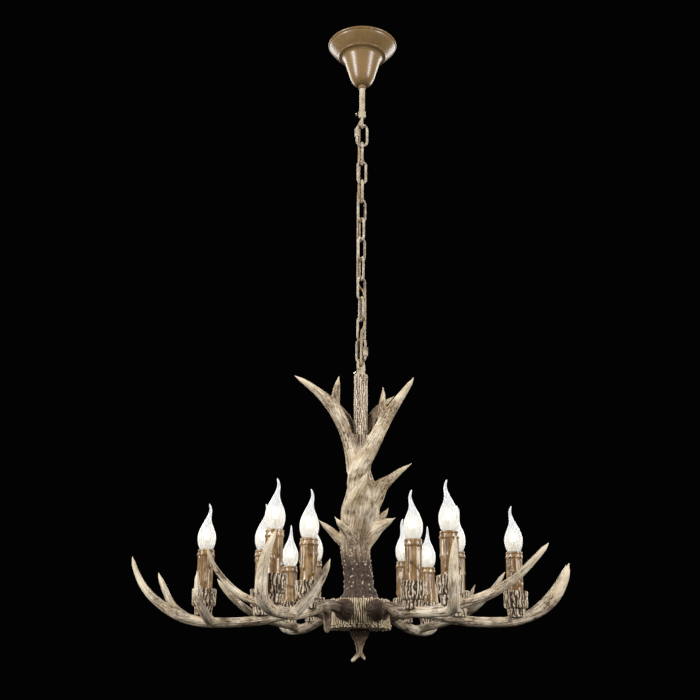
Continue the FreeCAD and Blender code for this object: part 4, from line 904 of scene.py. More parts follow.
def bone_finish(name, pale, middle, brown, dark, ruling):
    """Cast antler: streaked along the limbs, brown towards the roots, and darkened in the hollows, partly by
    brown antiquing and partly as painted shade; the trunk also gets painted shade between its forks.
    """
    made = Finish(name, Specular_IOR_Level=0.22)
    grain = made.marked("grain", "Vector")
    stain_and_shade = made.marked("stain_and_shade")
    streak = made.cloud(0.6, 6.0, 0.62, grain=grain)
    base = made.ramp(made.cloud(34.0, 5.0, 0.6), [(0.34, middle), (0.58, pale)])
    streaked = made.lay(base, brown, streak, (0.52, 0.0), (0.68, 0.6))
    patch = made.ramp(made.cloud(22.0, 4.0, 0.6), [(0.42, 0.0), (0.58, 1.0)])
    patched = made.mix(made.sums("MULTIPLY", patch, 0.42), streaked, tint(146, 115, 79))
    short = made.node("Mapping", {"Vector": grain, "Scale": (0.8, 0.8, 4.5)}).outputs["Vector"]
    dash = made.ramp(made.cloud(1.0, 4.0, 0.65, grain=short), [(0.495, 0.0), (0.585, 0.95)])
    dashed = made.mix(made.sums("MULTIPLY", patch, dash), patched, tint(76, 56, 41))
    thread = made.ramp(made.cloud(0.3, 3.0, 0.5, grain=grain),
                       [(0.45, 0.0), (0.485, 0.95), (0.505, 0.95), (0.54, 0.0)])
    thick = made.sums("ADD", made.sums("MULTIPLY", patch, 0.5), ruling)
    ruled = made.mix(made.sums("MULTIPLY", thread, thick), dashed, tint(78, 58, 42))
    tipped = made.mix(made.sums("MULTIPLY", made.marked("tip"), 0.6), ruled, tint(240, 223, 192))
    # Darker in the hollows: partly the resin's brown antiquing, partly painted shade where the hollows fall
    # dark.
    hollow = made.lay(tipped, tint(96, 75, 56), made.marked("wash_and_shade"), (0.52, 0.0), (0.85, 0.7))
    grooved = made.lay(hollow, dark, made.marked("depth"), (0.20, 0.0), (0.90, 0.85))
    mottle = made.sums("MULTIPLY", made.sums("SUBTRACT", made.cloud(110.0, 6.0, 0.7), 0.5), 1.1)
    # Brown stains towards the roots, and on the trunk painted shade between the forks, both carried by one
    # mark.
    stained_and_shaded = made.lay(grooved, tint(118, 91, 63), made.sums("ADD", stain_and_shade, mottle), (0.15, 0.0), (0.95, 0.6))
    lines = made.sums("MULTIPLY", stain_and_shade, made.ramp(streak, [(0.44, 0.0), (0.56, 0.9)]))
    lined = made.mix(lines, stained_and_shaded, tint(70, 53, 41))
    burr = made.ramp(made.cloud(190.0, 6.0, 0.72), [(0.42, dark), (0.54, tint(72, 56, 46)),
                                                    (0.66, tint(118, 95, 72))])
    made.colour(made.lay(lined, burr, made.sums("ADD", made.marked("root"), mottle), (0.55, 0.0),
                         (0.90, 0.92)))
    made.roughen(made.ramp(streak, [(0.3, 0.5), (0.7, 0.72)]))
    made.relief(streak, 0.4, 0.9)
    return made


pale_bone = bone_finish("pale_bone", tint(244, 231, 208), tint(226, 207, 175), tint(162, 133, 100),
                        tint(72, 57, 48), 0.5)
trunk_bone = bone_finish("trunk_bone", tint(240, 224, 197), tint(206, 184, 148), tint(136, 107, 77),
                         tint(48, 38, 35), 0.25)


def furrow(limb_radius, cosine, sine, along, seed):
    """Height and darkness of the lengthwise grooves at a point of a limb."""
    x = limb_radius * cosine
    y = limb_radius * sine
    broad = noise.noise(Vector((x / 8.5, y / 8.5, along / 110.0 + seed)))
    wave = noise.noise(Vector((x / 3.4, y / 3.4, along / 52.0 + 2.0 * seed)))
    cut = 1.0 - eased(abs(wave + 0.25 * broad), 0.02, 0.13)
    height = 0.75 * broad + 0.30 * wave - 0.75 * cut
    return height, min(1.0, 0.62 * cut + 0.42 * max(0.0, -broad))


def relaxed(points, pairs, shares):
    """Mesh points moved towards the middle of their neighbours, or away from it, once for each share."""
    both = np.concatenate([pairs, pairs[:, ::-1]])
    count = np.bincount(both[:, 0], minlength=len(points))[:, None]
    for share in shares:
        sums = [np.bincount(both[:, 0], points[both[:, 1], axis], len(points)) for axis in range(3)]
        points = points + share * (np.stack(sums, axis=1) / count - points)
    return points


def voxel_skin(name, runs, voxel):
    """Limbs as one skin, remeshed in voxels of this size."""
    block = merged([drawn(run, 28) for run in runs])
    bmesh.ops.recalc_face_normals(block, faces=block.faces)
    mesh = bpy.data.meshes.new(name + "_block")
    block.to_mesh(mesh)
    block.free()
    stand = bpy.data.objects.new(name + "_block", mesh)
    scene.collection.objects.link(stand)
    remesh = stand.modifiers.new("grow", "REMESH")
    remesh.mode = "VOXEL"
    remesh.voxel_size = voxel * 1.0 * MM
    skin = bpy.data.meshes.new_from_object(stand.evaluated_get(bpy.context.evaluated_depsgraph_get()))
    bpy.data.objects.remove(stand)
    bpy.data.meshes.remove(mesh)
    return skin


def put(bm, points):
    """Move the vertices to points in millimetres."""
    for vert, spot in zip(bm.verts, points):
        vert.co = spot * MM
    bm.normal_update()


def limb_shares(points, runs):
    """The row of each run nearest to each point, and the share that each run has in the point."""
    nearest = []
    gaps = []
    for run in runs:
        near = []
        for chunk in np.array_split(points, len(points) // 6000 + 1):
            away = np.linalg.norm(chunk[:, None, :] - run[None, :, :3], axis=2) - run[None, :, 3]
            near.append(np.stack([away.argmin(axis=1), away.min(axis=1)]))
        rows, gap = np.hstack(near)
        nearest.append(rows.astype(int))
        gaps.append(gap)
    shares = np.exp(-(np.array(gaps) - np.min(gaps, axis=0)) / 3.0)
    return nearest, shares / shares.sum(axis=0)


def grown(name, limbs, voxel, seed):
    """An antler mesh from its limbs, grown together, smoothed at the forks and grooved along each limb.
    A limb is its rows of point and radius, then where its dark root ends and how long its burr is."""
    runs = [smooth_run(rows, 3.0) for rows, dark, burr in limbs]
    mesh = voxel_skin(name, runs, voxel)
    bm = bmesh.new()
    bm.from_mesh(mesh)
    pairs = np.array([[vert.index for vert in edge.verts] for edge in bm.edges])
    points = relaxed(np.array([vert.co for vert in bm.verts], float) / MM, pairs, [0.5, -0.5] * 5 + [0.5] * 3)
    hollows = []
    for rounds in (60, 40, 20):
        put(bm, points)
        normals = np.array([vert.normal for vert in bm.verts], float)
        hollows.append(((relaxed(points, pairs, [0.5] * rounds) - points) * normals).sum(axis=1))
        points = points + normals * (0.9 * np.maximum(0.0, hollows[-1]))[:, None]
    put(bm, points)
    nearest, shares = limb_shares(points, runs)
    owner = shares.argmax(axis=0)
    marks = {label: np.zeros(len(points)) for label in ("depth", "root", "tip", "stain_and_shade")}
    # How hollow the skin is, for darkening the hollows: partly the resin's brown antiquing, partly painted
    # shade.
    marks["wash_and_shade"] = 0.5 + 0.12 * np.clip(hollows[0], -4.0, 4.0)
    lift = np.zeros(len(points))
    grain = np.zeros((len(points), 3))
    taper = np.zeros((len(points), 3))
    for number, (run, (rows, dark, burr)) in enumerate(zip(runs, limbs)):
        ways, sides, crosses = carried_frames(run)
        lengths = np.concatenate([[0.0], np.cumsum(np.linalg.norm(np.diff(run[:, :3], axis=0), axis=1))])
        whole = lengths[-1]
        girth = max(float(np.median(run[:, 3])), 6.0)
        pointed = whole > LONG_LIMB and rows[-1][3] < FINE_END
        for vert in np.nonzero(shares[number] > 0.04)[0]:
            share = shares[number, vert]
            row = nearest[number][vert]
            away = points[vert] - run[row, :3]
            along = lengths[row] + float(away @ ways[row])
            x = float(away @ sides[row])
            y = float(away @ crosses[row])
            reach = math.hypot(x, y) or 1.0
            end = eased(along, whole - PALE_END * whole, whole)
            if pointed:
                fine = 0.66 * eased(along, whole - POINT_LENGTH, whole)
                taper[vert] -= share * fine * (x * sides[row] + y * crosses[row])
            height, shade = furrow(girth, x / reach, y / reach, along, seed + 7.3 * number)
            size = min(1.15, 0.11 * run[row, 3]) * (1.0 - 0.75 * end)
            rough = 1.0 - eased(along, 0.55 * burr, burr) if burr else 0.0
            lump = 0.0
            if rough:
                spot = Vector(points[vert])
                lump = rough * (1.1 * noise.noise(spot / 5.2) + 0.8 * noise.noise(spot / 2.6))
            lift[vert] += share * (size * height + lump)
            marks["depth"][vert] += share * shade * (1.0 - 0.7 * end) * min(1.0, 0.35 + 0.09 * run[row, 3])
            marks["tip"][vert] += share * end
            if dark:
                marks["root"][vert] += share * (1.0 - eased(along, 0.35 * dark, dark))
                marks["stain_and_shade"][vert] += share * (1.0 - eased(along, 0.5 * dark, 1.7 * dark))
            if owner[vert] == number:
                wide = girth / 1.7
                grain[vert] = (wide * x / reach + 9.0 * number, wide * y / reach, along / 38.0 + seed)
    for vert, height, pull in zip(bm.verts, lift, taper):
        vert.co += vert.normal * (height * MM) + Vector(pull) * MM
    bm.to_mesh(mesh)
    bm.free()
    for label, values in marks.items():
        mesh.attributes.new(label, "FLOAT", "POINT").data.foreach_set("value", values.astype(np.float32))
    lengthwise = mesh.attributes.new("grain", "FLOAT_VECTOR", "POINT")
    lengthwise.data.foreach_set("vector", grain.astype(np.float32).ravel())
    mesh.name = name
    return mesh


def trunk_rows(stations):
    """Trunk stations of x, y, height over the hub and radius in centimetres, as rows in millimetres."""
    return [(x, y, HUB_TOP + rise, max(LEAST_RADIUS, 10.0 * ratio)) for x, y, rise, ratio in stations]


TRUNK_LIMBS = [
    [(-1, 0, -9, 3.9), (-1, 0, 4, 3.45), (-2, 0, 12, 2.95), (-3.5, 0, 44, 2.75), (-8, 0, 74, 2.8),
     (-9, 0, 105, 3.0), (-3, 0, 140, 3.6), (0, 0, 165, 3.8), (3, 0, 195, 3.3), (1, 0, 226, 2.5),
     (-2, 0, 246, 2.2), (0, 0, 280, 2.4), (1, 0, 316, 2.4)],
    [(-4, 0, 186, 1.3), (-12, -12, 214, 1.5), (-3, -19, 245, 1.75), (14, -18, 278, 1.7), (28, -16, 305, 1.5),
     (48, -14, 345, 1.3), (70, -13, 381, 1.0), (90, -13, 410, 0.7), (104, -12, 431, 0.4),
     (108, -12, 439, 0.1)],
    [(-12, -10, 240, 1.5), (-17, -14, 278, 1.45), (-27, -14, 312, 1.25), (-40, -14, 345, 1.3),
     (-57, -13, 375, 1.35), (-83, -13, 401, 0.95), (-109, -12, 422, 0.65), (-131, -11, 437, 0.32),
     (-136, -11, 440, 0.08)],
    [(-52, -12, 362, 1.1), (-52, -12, 382, 0.95), (-49.5, -12, 411, 0.72), (-46.7, -12, 428, 0.42),
     (-44.8, -12, 440, 0.1)],
    [(44, -12, 350, 1.0), (43, -12, 374, 0.75), (45, -12, 396, 0.5), (45.3, -12, 408, 0.32),
     (45, -12, 417, 0.08)],
    [(-6, 8, 286, 1.5), (-14, 16, 318, 1.15), (-27, 24, 357, 0.95), (-40, 30, 379, 0.7), (-52, 35, 397, 0.3),
     (-53, 35.5, 399, 0.08)],
    [(5, 8, 286, 1.5), (10, 16, 320, 1.2), (24, 24, 363, 0.95), (42, 30, 387, 0.75), (60, 33, 403, 0.4),
     (69, 34, 410, 0.15), (70, 34, 411, 0.08)],
    [(-8, -4, 122, 1.3), (-22, -18, 150, 1.5), (-16, -28, 175, 1.4), (-6, -33, 195, 1.15),
     (5.5, -38, 219, 0.72), (12, -41, 231, 0.35), (14, -42, 236, 0.08)],
    [(10, -4, 168, 2.4), (25, -6, 189, 2.1), (41, -10, 213, 1.5), (60.5, -14, 228, 0.93),
     (79, -16, 243, 0.58), (97, -16, 255, 0.25), (102, -16, 259, 0.08)],
    [(-4, 0, 88, 1.6), (6, -6, 106, 2.0), (18, -9, 120, 1.9), (31, -13, 131, 1.55), (46, -17, 138, 0.95),
     (59, -20, 144, 0.55), (67, -20, 148.5, 0.2), (69, -20, 149.5, 0.08)],
    [(-12, -3, 84, 1.6), (-30, -4, 102, 1.2), (-45.5, -7, 113.5, 0.9), (-61, -10, 128, 0.65),
     (-74, -10, 138.5, 0.4), (-80.5, -10, 144.5, 0.15), (-81.5, -10, 145.5, 0.08)],
    [(-4, -12, 92, 1.4), (-25.5, -32, 117.5, 1.0), (-40, -37, 135, 0.6), (-49, -38, 146, 0.25),
     (-50.5, -38, 148, 0.08)],
    [(14, 8, 116, 1.3), (43, 22, 157, 0.75), (52, 26, 169, 0.45), (56.5, 28, 177, 0.08)],
]
trunk_limbs = [(trunk_rows(rows), 0 if number else TRUNK_DARK, 0 if number else TRUNK_BURR)
               for number, rows in enumerate(TRUNK_LIMBS)]
trunk_mesh = grown("antler_trunk", trunk_limbs, 1.8, 0.4)
# Between the forks and round the foot of the stem the trunk is darkened too: painted shade, added to the same
# mark as the brown on the roots.
crown = trunk_mesh.attributes["stain_and_shade"].data
for vert in trunk_mesh.vertices:
    inner = 1.0 - eased(vert.co.xy.length / MM, 23.0, 31.0)
    crown[vert.index].value += 1.4 * inner * eased(vert.co.z / MM, HUB_TOP + 262.0, HUB_TOP + 304.0)
hang_mesh("antler_trunk", trunk_mesh, [trunk_bone], "fixture", ["trunk"], 80.0)

# Hub: a cast resin drum with fine upright grooves, a row of pearls round its shoulder and two round its
# beaded base, in the same cream and brown. The arms are bolted to it from inside.
DRUM_LOW = HUB_TOP - 55.0
BASE_LOW = DRUM_LOW - 6.0
PEARL_ROWS = [(DRUM_LOW - 0.2, 58.6, 62, 2.3), (BASE_LOW + 1.0, 57.4, 54, 2.1),
              (HUB_TOP - 7.6, 55.4, 26, 1.7)]
FOOT_PEARLS = 20
BURR_PEARLS = 112
drum_outline = [(5.4, 46.0), (46.0, 46.0), (46.0, 0.0), (57.0, 0.0)]
drum_outline += [(58.2 + 0.5 * math.sin(0.3 * step), 1.0 + 2.5 * step) for step in range(18)]
drum_outline += [(57.6, 46.2), (56.4, 47.4), (52.0, 48.0), (38.0, 48.4), (22.0, 48.6), (5.4, 48.6)]
hub_bark = bark_finish("hub_bark", tint(172, 149, 116), tint(214, 195, 162), tint(238, 223, 194),
                       tint(128, 102, 74), tint(48, 37, 30))
drum_bm = turned(raised(drum_outline, DRUM_LOW), 640)
bark_face(drum_bm, (0, 0), 53.0, 1.0, 84, 0.40, 11.3, 0.2)
hang("hub_drum", drum_bm, [hub_bark], "fixture", ["hub"], 70.0)
base_outline = [(5.4, 0.0), (30.0, 0.0), (50.0, 0.0), (56.4, 0.5), (58.6, 1.6), (59.2, 3.0), (58.6, 4.6),
                (57.0, 6.0), (5.4, 6.0)]
base_bm = turned(raised(base_outline, BASE_LOW), 240)
bark_face(base_bm, (0, 0), 20.0, 0.7, 44, 0.34, 5.9, 0.6)
hang("beaded_base", base_bm, [hub_bark], "fixture", ["hub_base"], 60.0)


def pearl(spot, radius, squash, way):
    """One pearl of the burr, a small flattened bead."""
    bm = bmesh.new()
    turn = way.to_track_quat("Z", "Y").to_matrix().to_4x4()
    bmesh.ops.create_icosphere(bm, subdivisions=2, radius=radius * MM,
                               matrix=Matrix.Translation(spot) @ turn
                               @ Matrix.Diagonal((1.0, 1.15, squash, 1.0)))
    return bm


pearl_draw = random.Random(41)
pearl_finish = Finish("rubbed_pearls", Roughness=0.42)
pearl_tones = [(0.32, tint(112, 90, 68)), (0.45, tint(182, 160, 128)), (0.58, tint(230, 214, 186))]
pearl_finish.colour(pearl_finish.ramp(pearl_finish.cloud(420.0, 3.0), pearl_tones))
pearl_finish.relief(pearl_finish.cloud(900.0, 3.0), 0.3, 0.3)
pearls = []
for level, reach, count, size in PEARL_ROWS:
    for step in range(count):
        turn = math.tau * (step + pearl_draw.uniform(-0.3, 0.3)) / count
        spot = Vector((reach * math.cos(turn), reach * math.sin(turn), level + pearl_draw.uniform(-0.8, 0.8)))
        pearls.append(pearl(spot * MM, size * pearl_draw.uniform(0.75, 1.2), 0.8, spot))
for step in range(FOOT_PEARLS):
    turn = math.tau * (step + pearl_draw.uniform(-0.4, 0.4)) / FOOT_PEARLS
    reach = pearl_draw.uniform(33.0, 36.5)
    spot = Vector((reach * math.cos(turn) - 1.0, reach * math.sin(turn),
                   HUB_TOP + pearl_draw.uniform(-6.5, -3.0)))
    pearls.append(pearl(spot * MM, pearl_draw.uniform(2.0, 3.4), 0.8, Vector((spot.x, spot.y, 12.0))))
burr_spots = [vert.index for vert in trunk_mesh.vertices
              if HUB_TOP + 10.0 < vert.co.z / MM < HUB_TOP + 92.0 and vert.co.xy.length > 15.0 * MM]
for index in pearl_draw.sample(burr_spots, BURR_PEARLS):
    vert = trunk_mesh.vertices[index]
    pearls.append(pearl(vert.co, pearl_draw.uniform(1.0, 2.1), 0.9, vert.normal))
hang("burr_pearls", merged(pearls), [pearl_finish], "fixture", (), 180.0)

# Finial: a small forked antler end under the base, its dark burr on top, screwed on the end of the rod.
# It clamps the base to the hub and hides the rod's end.
FINIAL_LENGTH = 60.0


def finial_rows(stations):
    """Finial stations of x, share of its length and radius, as rows in millimetres."""
    return [(x, 0.0, BASE_LOW - FINIAL_LENGTH * share, radius) for x, share, radius in stations]


finial_limbs = [
    (finial_rows([(0, 0.0, 18.6), (0, 0.10, 18.8), (0, 0.20, 16.8), (0, 0.31, 12.4), (0, 0.42, 9.0),
                  (0, 0.54, 7.2), (-0.2, 0.66, 5.8), (-1.5, 0.75, 4.9), (-7.5, 0.86, 4.2), (-14, 0.97, 3.4),
                  (-15.5, 1.0, 1.0)]),
     26, 46),
    (finial_rows([(0, 0.70, 4.8), (5, 0.81, 3.8), (9.5, 0.91, 2.5), (10.5, 0.94, 0.8)]), 0, 0)]
finial_bone = bone_finish("finial_bone", tint(226, 207, 176), tint(166, 140, 108), tint(92, 70, 50),
                          tint(44, 35, 30), 0.9)
hang_mesh("forked_finial", grown("forked_finial", finial_limbs, 1.2, 2.9), [finial_bone], "fixture",
          ["finial"], 80.0)

# Arms: six cast resin antlers, each bolted to the hub by its dark burr. Each runs out under two cups and
# ends in upswept tines, grooved along its length and rubbed smooth at the tips.
SEAT_LEVEL = DRUM_LOW + 34.0
KNOB_REACH = 150
ROOT_DARK = 62
ROOT_BURR = 36
KNOB_DARK = 44
ROOT = [(56, 0, -8, 2.0), (63, 0, -8, 2.05), (70, 0, -8, 1.55), (80, 0, -7, 1.15)]
ARMS = {
    "right": (0, [
        ROOT + [(118, 0, -9, 0.95), (188, 0, -21, 0.98), (233, 0, -25, 0.95), (290, 0, -23, 1.0),
                (336, 0, -7, 1.15), (370, 0, 18, 1.2), (394, 0, 54, 0.9), (405, 0, 84, 0.42),
                (407, 0, 88, 0.08)],
        [(330, 4, -10, 0.9), (366, 12, 22, 0.9), (390, 13, 56, 0.65), (401, 10, 82, 0.3),
         (402, 10, 85, 0.08)]]),
    "right_rear": (60, [
        ROOT + [(118, 0, -8, 0.95), (188, 0, -23, 1.0), (250, 0, -28, 1.0), (300, 0, -24, 1.05),
                (328, 0, -12, 1.0), (336, 0, 18, 0.85), (334, 0, 56, 0.6), (328, 0, 88, 0.25),
                (327, 0, 91, 0.08)],
        [(246, 0, -26, 0.9), (242, -55, -16, 0.8), (244, -93, -6, 0.7), (246, -135, 16, 0.7),
         (246, -172, 48, 0.58), (244, -200, 80, 0.38), (244, -202, 83, 0.08)],
        [(243, -90, -8, 0.6), (228, -122, 20, 0.52), (214, -147, 55, 0.28), (213, -148, 57, 0.08)]]),
    "left_rear": (120, [
        ROOT + [(118, 0, -7, 0.95), (188, 0, -20, 1.0), (236, 0, -27, 1.0), (300, 0, -24, 1.05),
                (328, 0, -12, 1.0), (336, 0, 18, 0.85), (334, 0, 56, 0.6), (328, 0, 88, 0.25),
                (327, 0, 91, 0.08)],
        [(246, 0, -26, 0.9), (240, 55, -16, 0.85), (243, 93, -8, 0.8), (246, 132, 12, 0.74),
         (250, 165, 38, 0.6), (252, 188, 63, 0.4), (252, 190, 66, 0.08)],
        [(241, 98, -8, 0.65), (232, 128, 4, 0.56), (226, 149, 20, 0.36), (225.5, 150, 22, 0.08)]]),
    "left": (180, [
        ROOT + [(118, 0, -9, 0.95), (178, 0, -23, 0.95), (218, 0, -28, 0.95), (272, 0, -30, 0.95),
                (322, 0, -25, 1.0), (361, 0, -9, 1.0), (396, 0, 14, 0.82), (419, 0, 39, 0.68),
                (435, 0, 68, 0.5), (442.5, 0, 91, 0.34), (443, 0, 94, 0.08)],
        [(330, -4, -22, 0.85), (362, -18, 3, 0.75), (382, -22, 38, 0.6), (393.5, -22, 63, 0.36),
         (394, -22, 66, 0.08)],
        [(284, 4, -28, 0.95), (292, 30, -18, 0.92), (304, 42, 8, 0.8), (308, 43, 34, 0.6),
         (310, 42, 60, 0.32), (310, 42, 63, 0.08)]]),
    "left_front": (240, [
        ROOT + [(118, 0, -4, 1.0), (188, 0, -20, 1.0), (240, 0, -28, 1.05), (302, 0, -25, 1.1),
                (331, 0, -9, 1.1), (338, 2, 24, 1.0), (336, 8, 62, 0.82), (328, 20, 100, 0.38),
                (327.5, 22, 106, 0.08)],
        [(234, 2, -26, 1.0), (224, 22, -4, 0.92), (210, 42, 34, 0.7), (200.5, 51, 64, 0.38),
         (200, 52, 68, 0.08)],
        [(262, -2, -27, 0.9), (260, -44, -14, 0.72), (272, -85, 4, 0.66), (285, -112, 29, 0.58),
         (296, -133, 60, 0.48), (301.5, -141, 85, 0.32), (302, -142, 88, 0.08)],
        [(122, 0, -6, 0.8), (124, 2, -28, 0.76), (125, 3, -48, 0.6), (125, 3, -54, 0.2)]]),
    "right_front": (300, [
        ROOT + [(112, 0, -7, 1.0), (144, 0, -17, 1.32), (192, 0, -20, 0.95), (248, 0, -23, 1.0),
                (300, -1, -24, 1.05), (326, -11, -14, 1.02), (335, -17, 14, 0.95), (335, -17, 42, 0.85),
                (336, -15, 72, 0.58), (336.5, -13, 91, 0.34), (336.5, -13, 95, 0.08)],
        [(250, 2, -22, 0.95), (236, 50, -9, 0.98), (250, 93, 2, 0.95), (272, 132, 23, 0.86),
         (291, 164, 51, 0.72), (314, 203, 97, 0.44), (316, 207, 103, 0.1)],
        [(246, 40, -14, 0.6), (251, 54, -20, 0.5), (253, 59, -22, 0.2)],
        [(88, 0, -6, 1.0), (92, -2, -16, 0.95), (94, -3, -24, 0.7), (94.5, -3, -29, 0.15)]]),
}


def arm_rows(turn, stations):
    """Arm stations of reach, side, height over the seats and radius in centimetres, as rows in mm."""
    east = math.cos(math.radians(turn))
    north = math.sin(math.radians(turn))
    return [(reach * east - side * north, reach * north + side * east, SEAT_LEVEL + rise,
             max(LEAST_RADIUS, 10.0 * ratio)) for reach, side, rise, ratio in stations]


for label, (turn, limbs) in ARMS.items():
    arm_limbs = [(arm_rows(turn, limbs[0]), ROOT_DARK, ROOT_BURR)]
    # A limb that starts near the hub is a knob and has a dark foot.
    for stations in limbs[1:]:
        arm_limbs.append((arm_rows(turn, stations), KNOB_DARK if stations[0][0] < KNOB_REACH else 0, 0))
    arm_mesh = grown("antler_" + label, arm_limbs, 1.6, 1.0 + turn / 37.0)
    hang_mesh("antler_" + label, arm_mesh, [pale_bone], "fixture", ["arm_" + label], 80.0)

# Cups: twelve cast resin cups with a bark face, each on a smaller bark foot on its arm, screwed down by
# the hollow nipple inside. They hold the candle sleeves.
BRIM_LEVEL = SEAT_LEVEL + 33.0
CUP_FLOOR = SEAT_LEVEL + 6.0
LIGHT_RINGS = (188.0, 300.0)
LIGHTS = [(reach * math.cos(math.radians(turn)), reach * math.sin(math.radians(turn)))
          for turn in range(0, 360, 60) for reach in LIGHT_RINGS]
cup_outline = [(15.3, 6.0), (5.1, 6.0), (5.1, 0.0), (18.4, 0.0), (20.4, 1.2)]
cup_outline += outline_run([(21.5, 2.2), (22.2, 5.0), (22.4, 12.0), (22.6, 22.0), (22.8, 28.0), (23.0, 31.0)],
                           1.3)
cup_outline += [(22.8, 32.4), (21.6, 33.0), (19.0, 32.8), (15.3, 32.6)]
foot_outline = [(5.0, -16.0), (15.0, -16.0), (16.0, -15.0)]
foot_outline += [(16.0 + 1.2 * eased(step, 6, 12), step - 14.0) for step in range(13)]
foot_outline += [(17.2, -0.2), (5.0, -0.2)]
cups = []
feet = []
for number, (x, y) in enumerate(LIGHTS):
    cups.append(moved(turned(raised(cup_outline, SEAT_LEVEL), 176), at(x, y, 0)))
    bark_face(cups[-1], (x, y), 16.5, 1.5, 21, 0.43, 2.1 * number)
    feet.append(moved(turned(raised(foot_outline, SEAT_LEVEL), 120), at(x, y, 0)))
    bark_face(feet[-1], (x, y), 12.0, 1.1, 15, 0.36, 0.7 + 1.7 * number)
hang("bark_cups", merged(cups), [bark], "fixture", ["candle_cups"], 70.0)
hang("bark_feet", merged(feet), [bark], "fixture", (), 70.0)

# Candles: moulded sleeves in glossy caramel brown with a raised band at the top and run wax down their
# sides. They slip over the lamp holders and stand in the cups.
CANDLE_TOP = BRIM_LEVEL + 75.0
CANDLE_RADIUS = 15.0
RUN_TOP = CANDLE_TOP - 10.0
RUN_LOW = BRIM_LEVEL - 3.0
caramel = Finish("caramel_wax", Coat_Weight=0.5, Coat_Roughness=0.12, Subsurface_Weight=0.06,
                 Subsurface_Radius=(0.004, 0.002, 0.001))
wax_cloud = caramel.cloud(110.0, 5.0, 0.6, (1.0, 1.0, 0.5))
wax_tones = [(0.36, tint(108, 79, 46)), (0.5, tint(142, 110, 71)), (0.62, tint(184, 155, 116))]
caramel.colour(caramel.lay(caramel.ramp(wax_cloud, wax_tones), tint(88, 60, 33), caramel.marked("depth"),
                           (0.1, 0.0), (0.8, 0.7)))
caramel.roughen(caramel.ramp(wax_cloud, [(0.3, 0.38), (0.7, 0.22)]))
caramel.relief(caramel.cloud(330.0, 3.0, stretch=(1.0, 1.0, 0.4)), 0.12, 0.5)
wax_draw = random.Random(7)
candle_outline = [(13.0, CUP_FLOOR), (CANDLE_RADIUS, CUP_FLOOR), (CANDLE_RADIUS, BRIM_LEVEL - 4.0)]
candle_outline += [(CANDLE_RADIUS, BRIM_LEVEL - 2.0 + (63.0 / 46) * step) for step in range(47)]
candle_outline += raised([(15.3, -13.0), (16.1, -12.2), (16.5, -10.6), (16.3, -8.4), (16.0, -6.2),
                          (15.6, -5.2), (15.9, -4.2), (16.3, -2.8), (16.1, -1.0), (15.2, 0.0), (13.6, 0.0),
                          (13.0, -0.6), (13.0, -20.0)], CANDLE_TOP)


def drip_candle(x, y):
    """One candle sleeve with its runs of wax."""
    bm = turned(candle_outline, 72)
    mark = bm.verts.layers.float.new("depth")
    runs = []
    turn = wax_draw.uniform(0.0, 1.0)
    while turn < 6.2:
        runs.append((turn, wax_draw.uniform(0.14, 0.26), wax_draw.uniform(6.0, 62.0),
                     wax_draw.uniform(0.7, 1.4)))
        turn += wax_draw.uniform(0.34, 0.72)
    for vert in bm.verts:
        reach = vert.co.xy.length / MM
        level = vert.co.z / MM
        if reach < CANDLE_RADIUS - 0.5 or level > RUN_TOP or level < RUN_LOW:
            continue
        angle = math.atan2(vert.co.y, vert.co.x)
        best = 0.0
        edge = 0.0
        for middle, width, length, thick in runs:
            away = abs((angle - middle + math.pi) % math.tau - math.pi) / width
            if away > 1.4:
                continue
            end = RUN_TOP - level - length
            across = max(0.0, 1.0 - away * away)
            bead = 1.0 + 0.6 * max(0.0, 1.0 - (end + 3.0) ** 2 / 9.0)
            body = math.sqrt(across) * bead if end < 0.0 else 0.0
            if 0.0 <= end < 2.5:
                body = math.sqrt(max(0.0, across - (end / 2.5) ** 2)) * bead
            best = max(best, thick * body)
            edge = max(edge, 1.0 - eased(abs(away - 1.0), 0.0, 0.35) if end < 1.5 else 0.0)
        sag = 0.25 * noise.noise(Vector((vert.co.x / MM / 9.0 + x, vert.co.y / MM / 9.0 + y, level / 16.0)))
        share = (reach + best + sag) / reach
        vert.co.x *= share
        vert.co.y *= share
        vert[mark] = 0.8 * edge
    return moved(bm, at(x, y, 0))


hang("drip_candles", merged([drip_candle(x, y) for x, y in LIGHTS]), [caramel], "fixture",
     ["candle_sleeves"], 60.0)

# Lamp holders: moulded sockets on the nipples inside the candles, in dark phenolic plastic. They take the
# bulbs' screw caps.
phenolic = two_tone("dark_phenolic", tint(44, 34, 28), tint(62, 50, 42), 300.0, Roughness=0.4)
phenolic.relief(phenolic.cloud(1200.0, 2.0), 0.1, 0.15)
dress("lamp_holders", phenolic)

# Bulbs: blown flame-shaped glass with a bent tip, lit, with a glass stem, two leads and a glowing coil
# inside, on a brass screw cap that turns into its holder.
CAP_HEIGHT = 25.0
GLASS_LOW = CANDLE_TOP - 2.0
GLASS_HEIGHT = 92.0
GLASS_RADIUS = 17.7
GLASS_WALL = 0.9
TIP_BEND = 5.0
GLASS = [(0.0, 0.50, 0.0), (0.03, 0.67, 0.0), (0.08, 0.82, 0.0), (0.16, 0.95, 0.0), (0.24, 1.0, 0.0),
         (0.32, 0.99, 0.0), (0.42, 0.86, 0.0), (0.52, 0.65, 0.05), (0.61, 0.43, 0.2), (0.70, 0.28, 0.5),
         (0.79, 0.19, 0.85), (0.87, 0.14, 1.0), (0.94, 0.105, 0.8), (1.0, 0.05, 0.4)]
TIP_WAYS = [0, 180, 160, 75, 180, 80, 0, 0, 0, 0, 180, 170]
GLOW = [(0.0, (0.095, 0.09, 0.08, 1.0)), (0.14, (0.16, 0.15, 0.125, 1.0)), (0.30, (0.165, 0.158, 0.14, 1.0)),
        (0.48, (0.14, 0.139, 0.137, 1.0)), (0.72, (0.14, 0.14, 0.142, 1.0)), (1.0, (0.32, 0.32, 0.325, 1.0))]
COIL_LOW = GLASS_LOW + 23.0
COIL_STEPS = 96

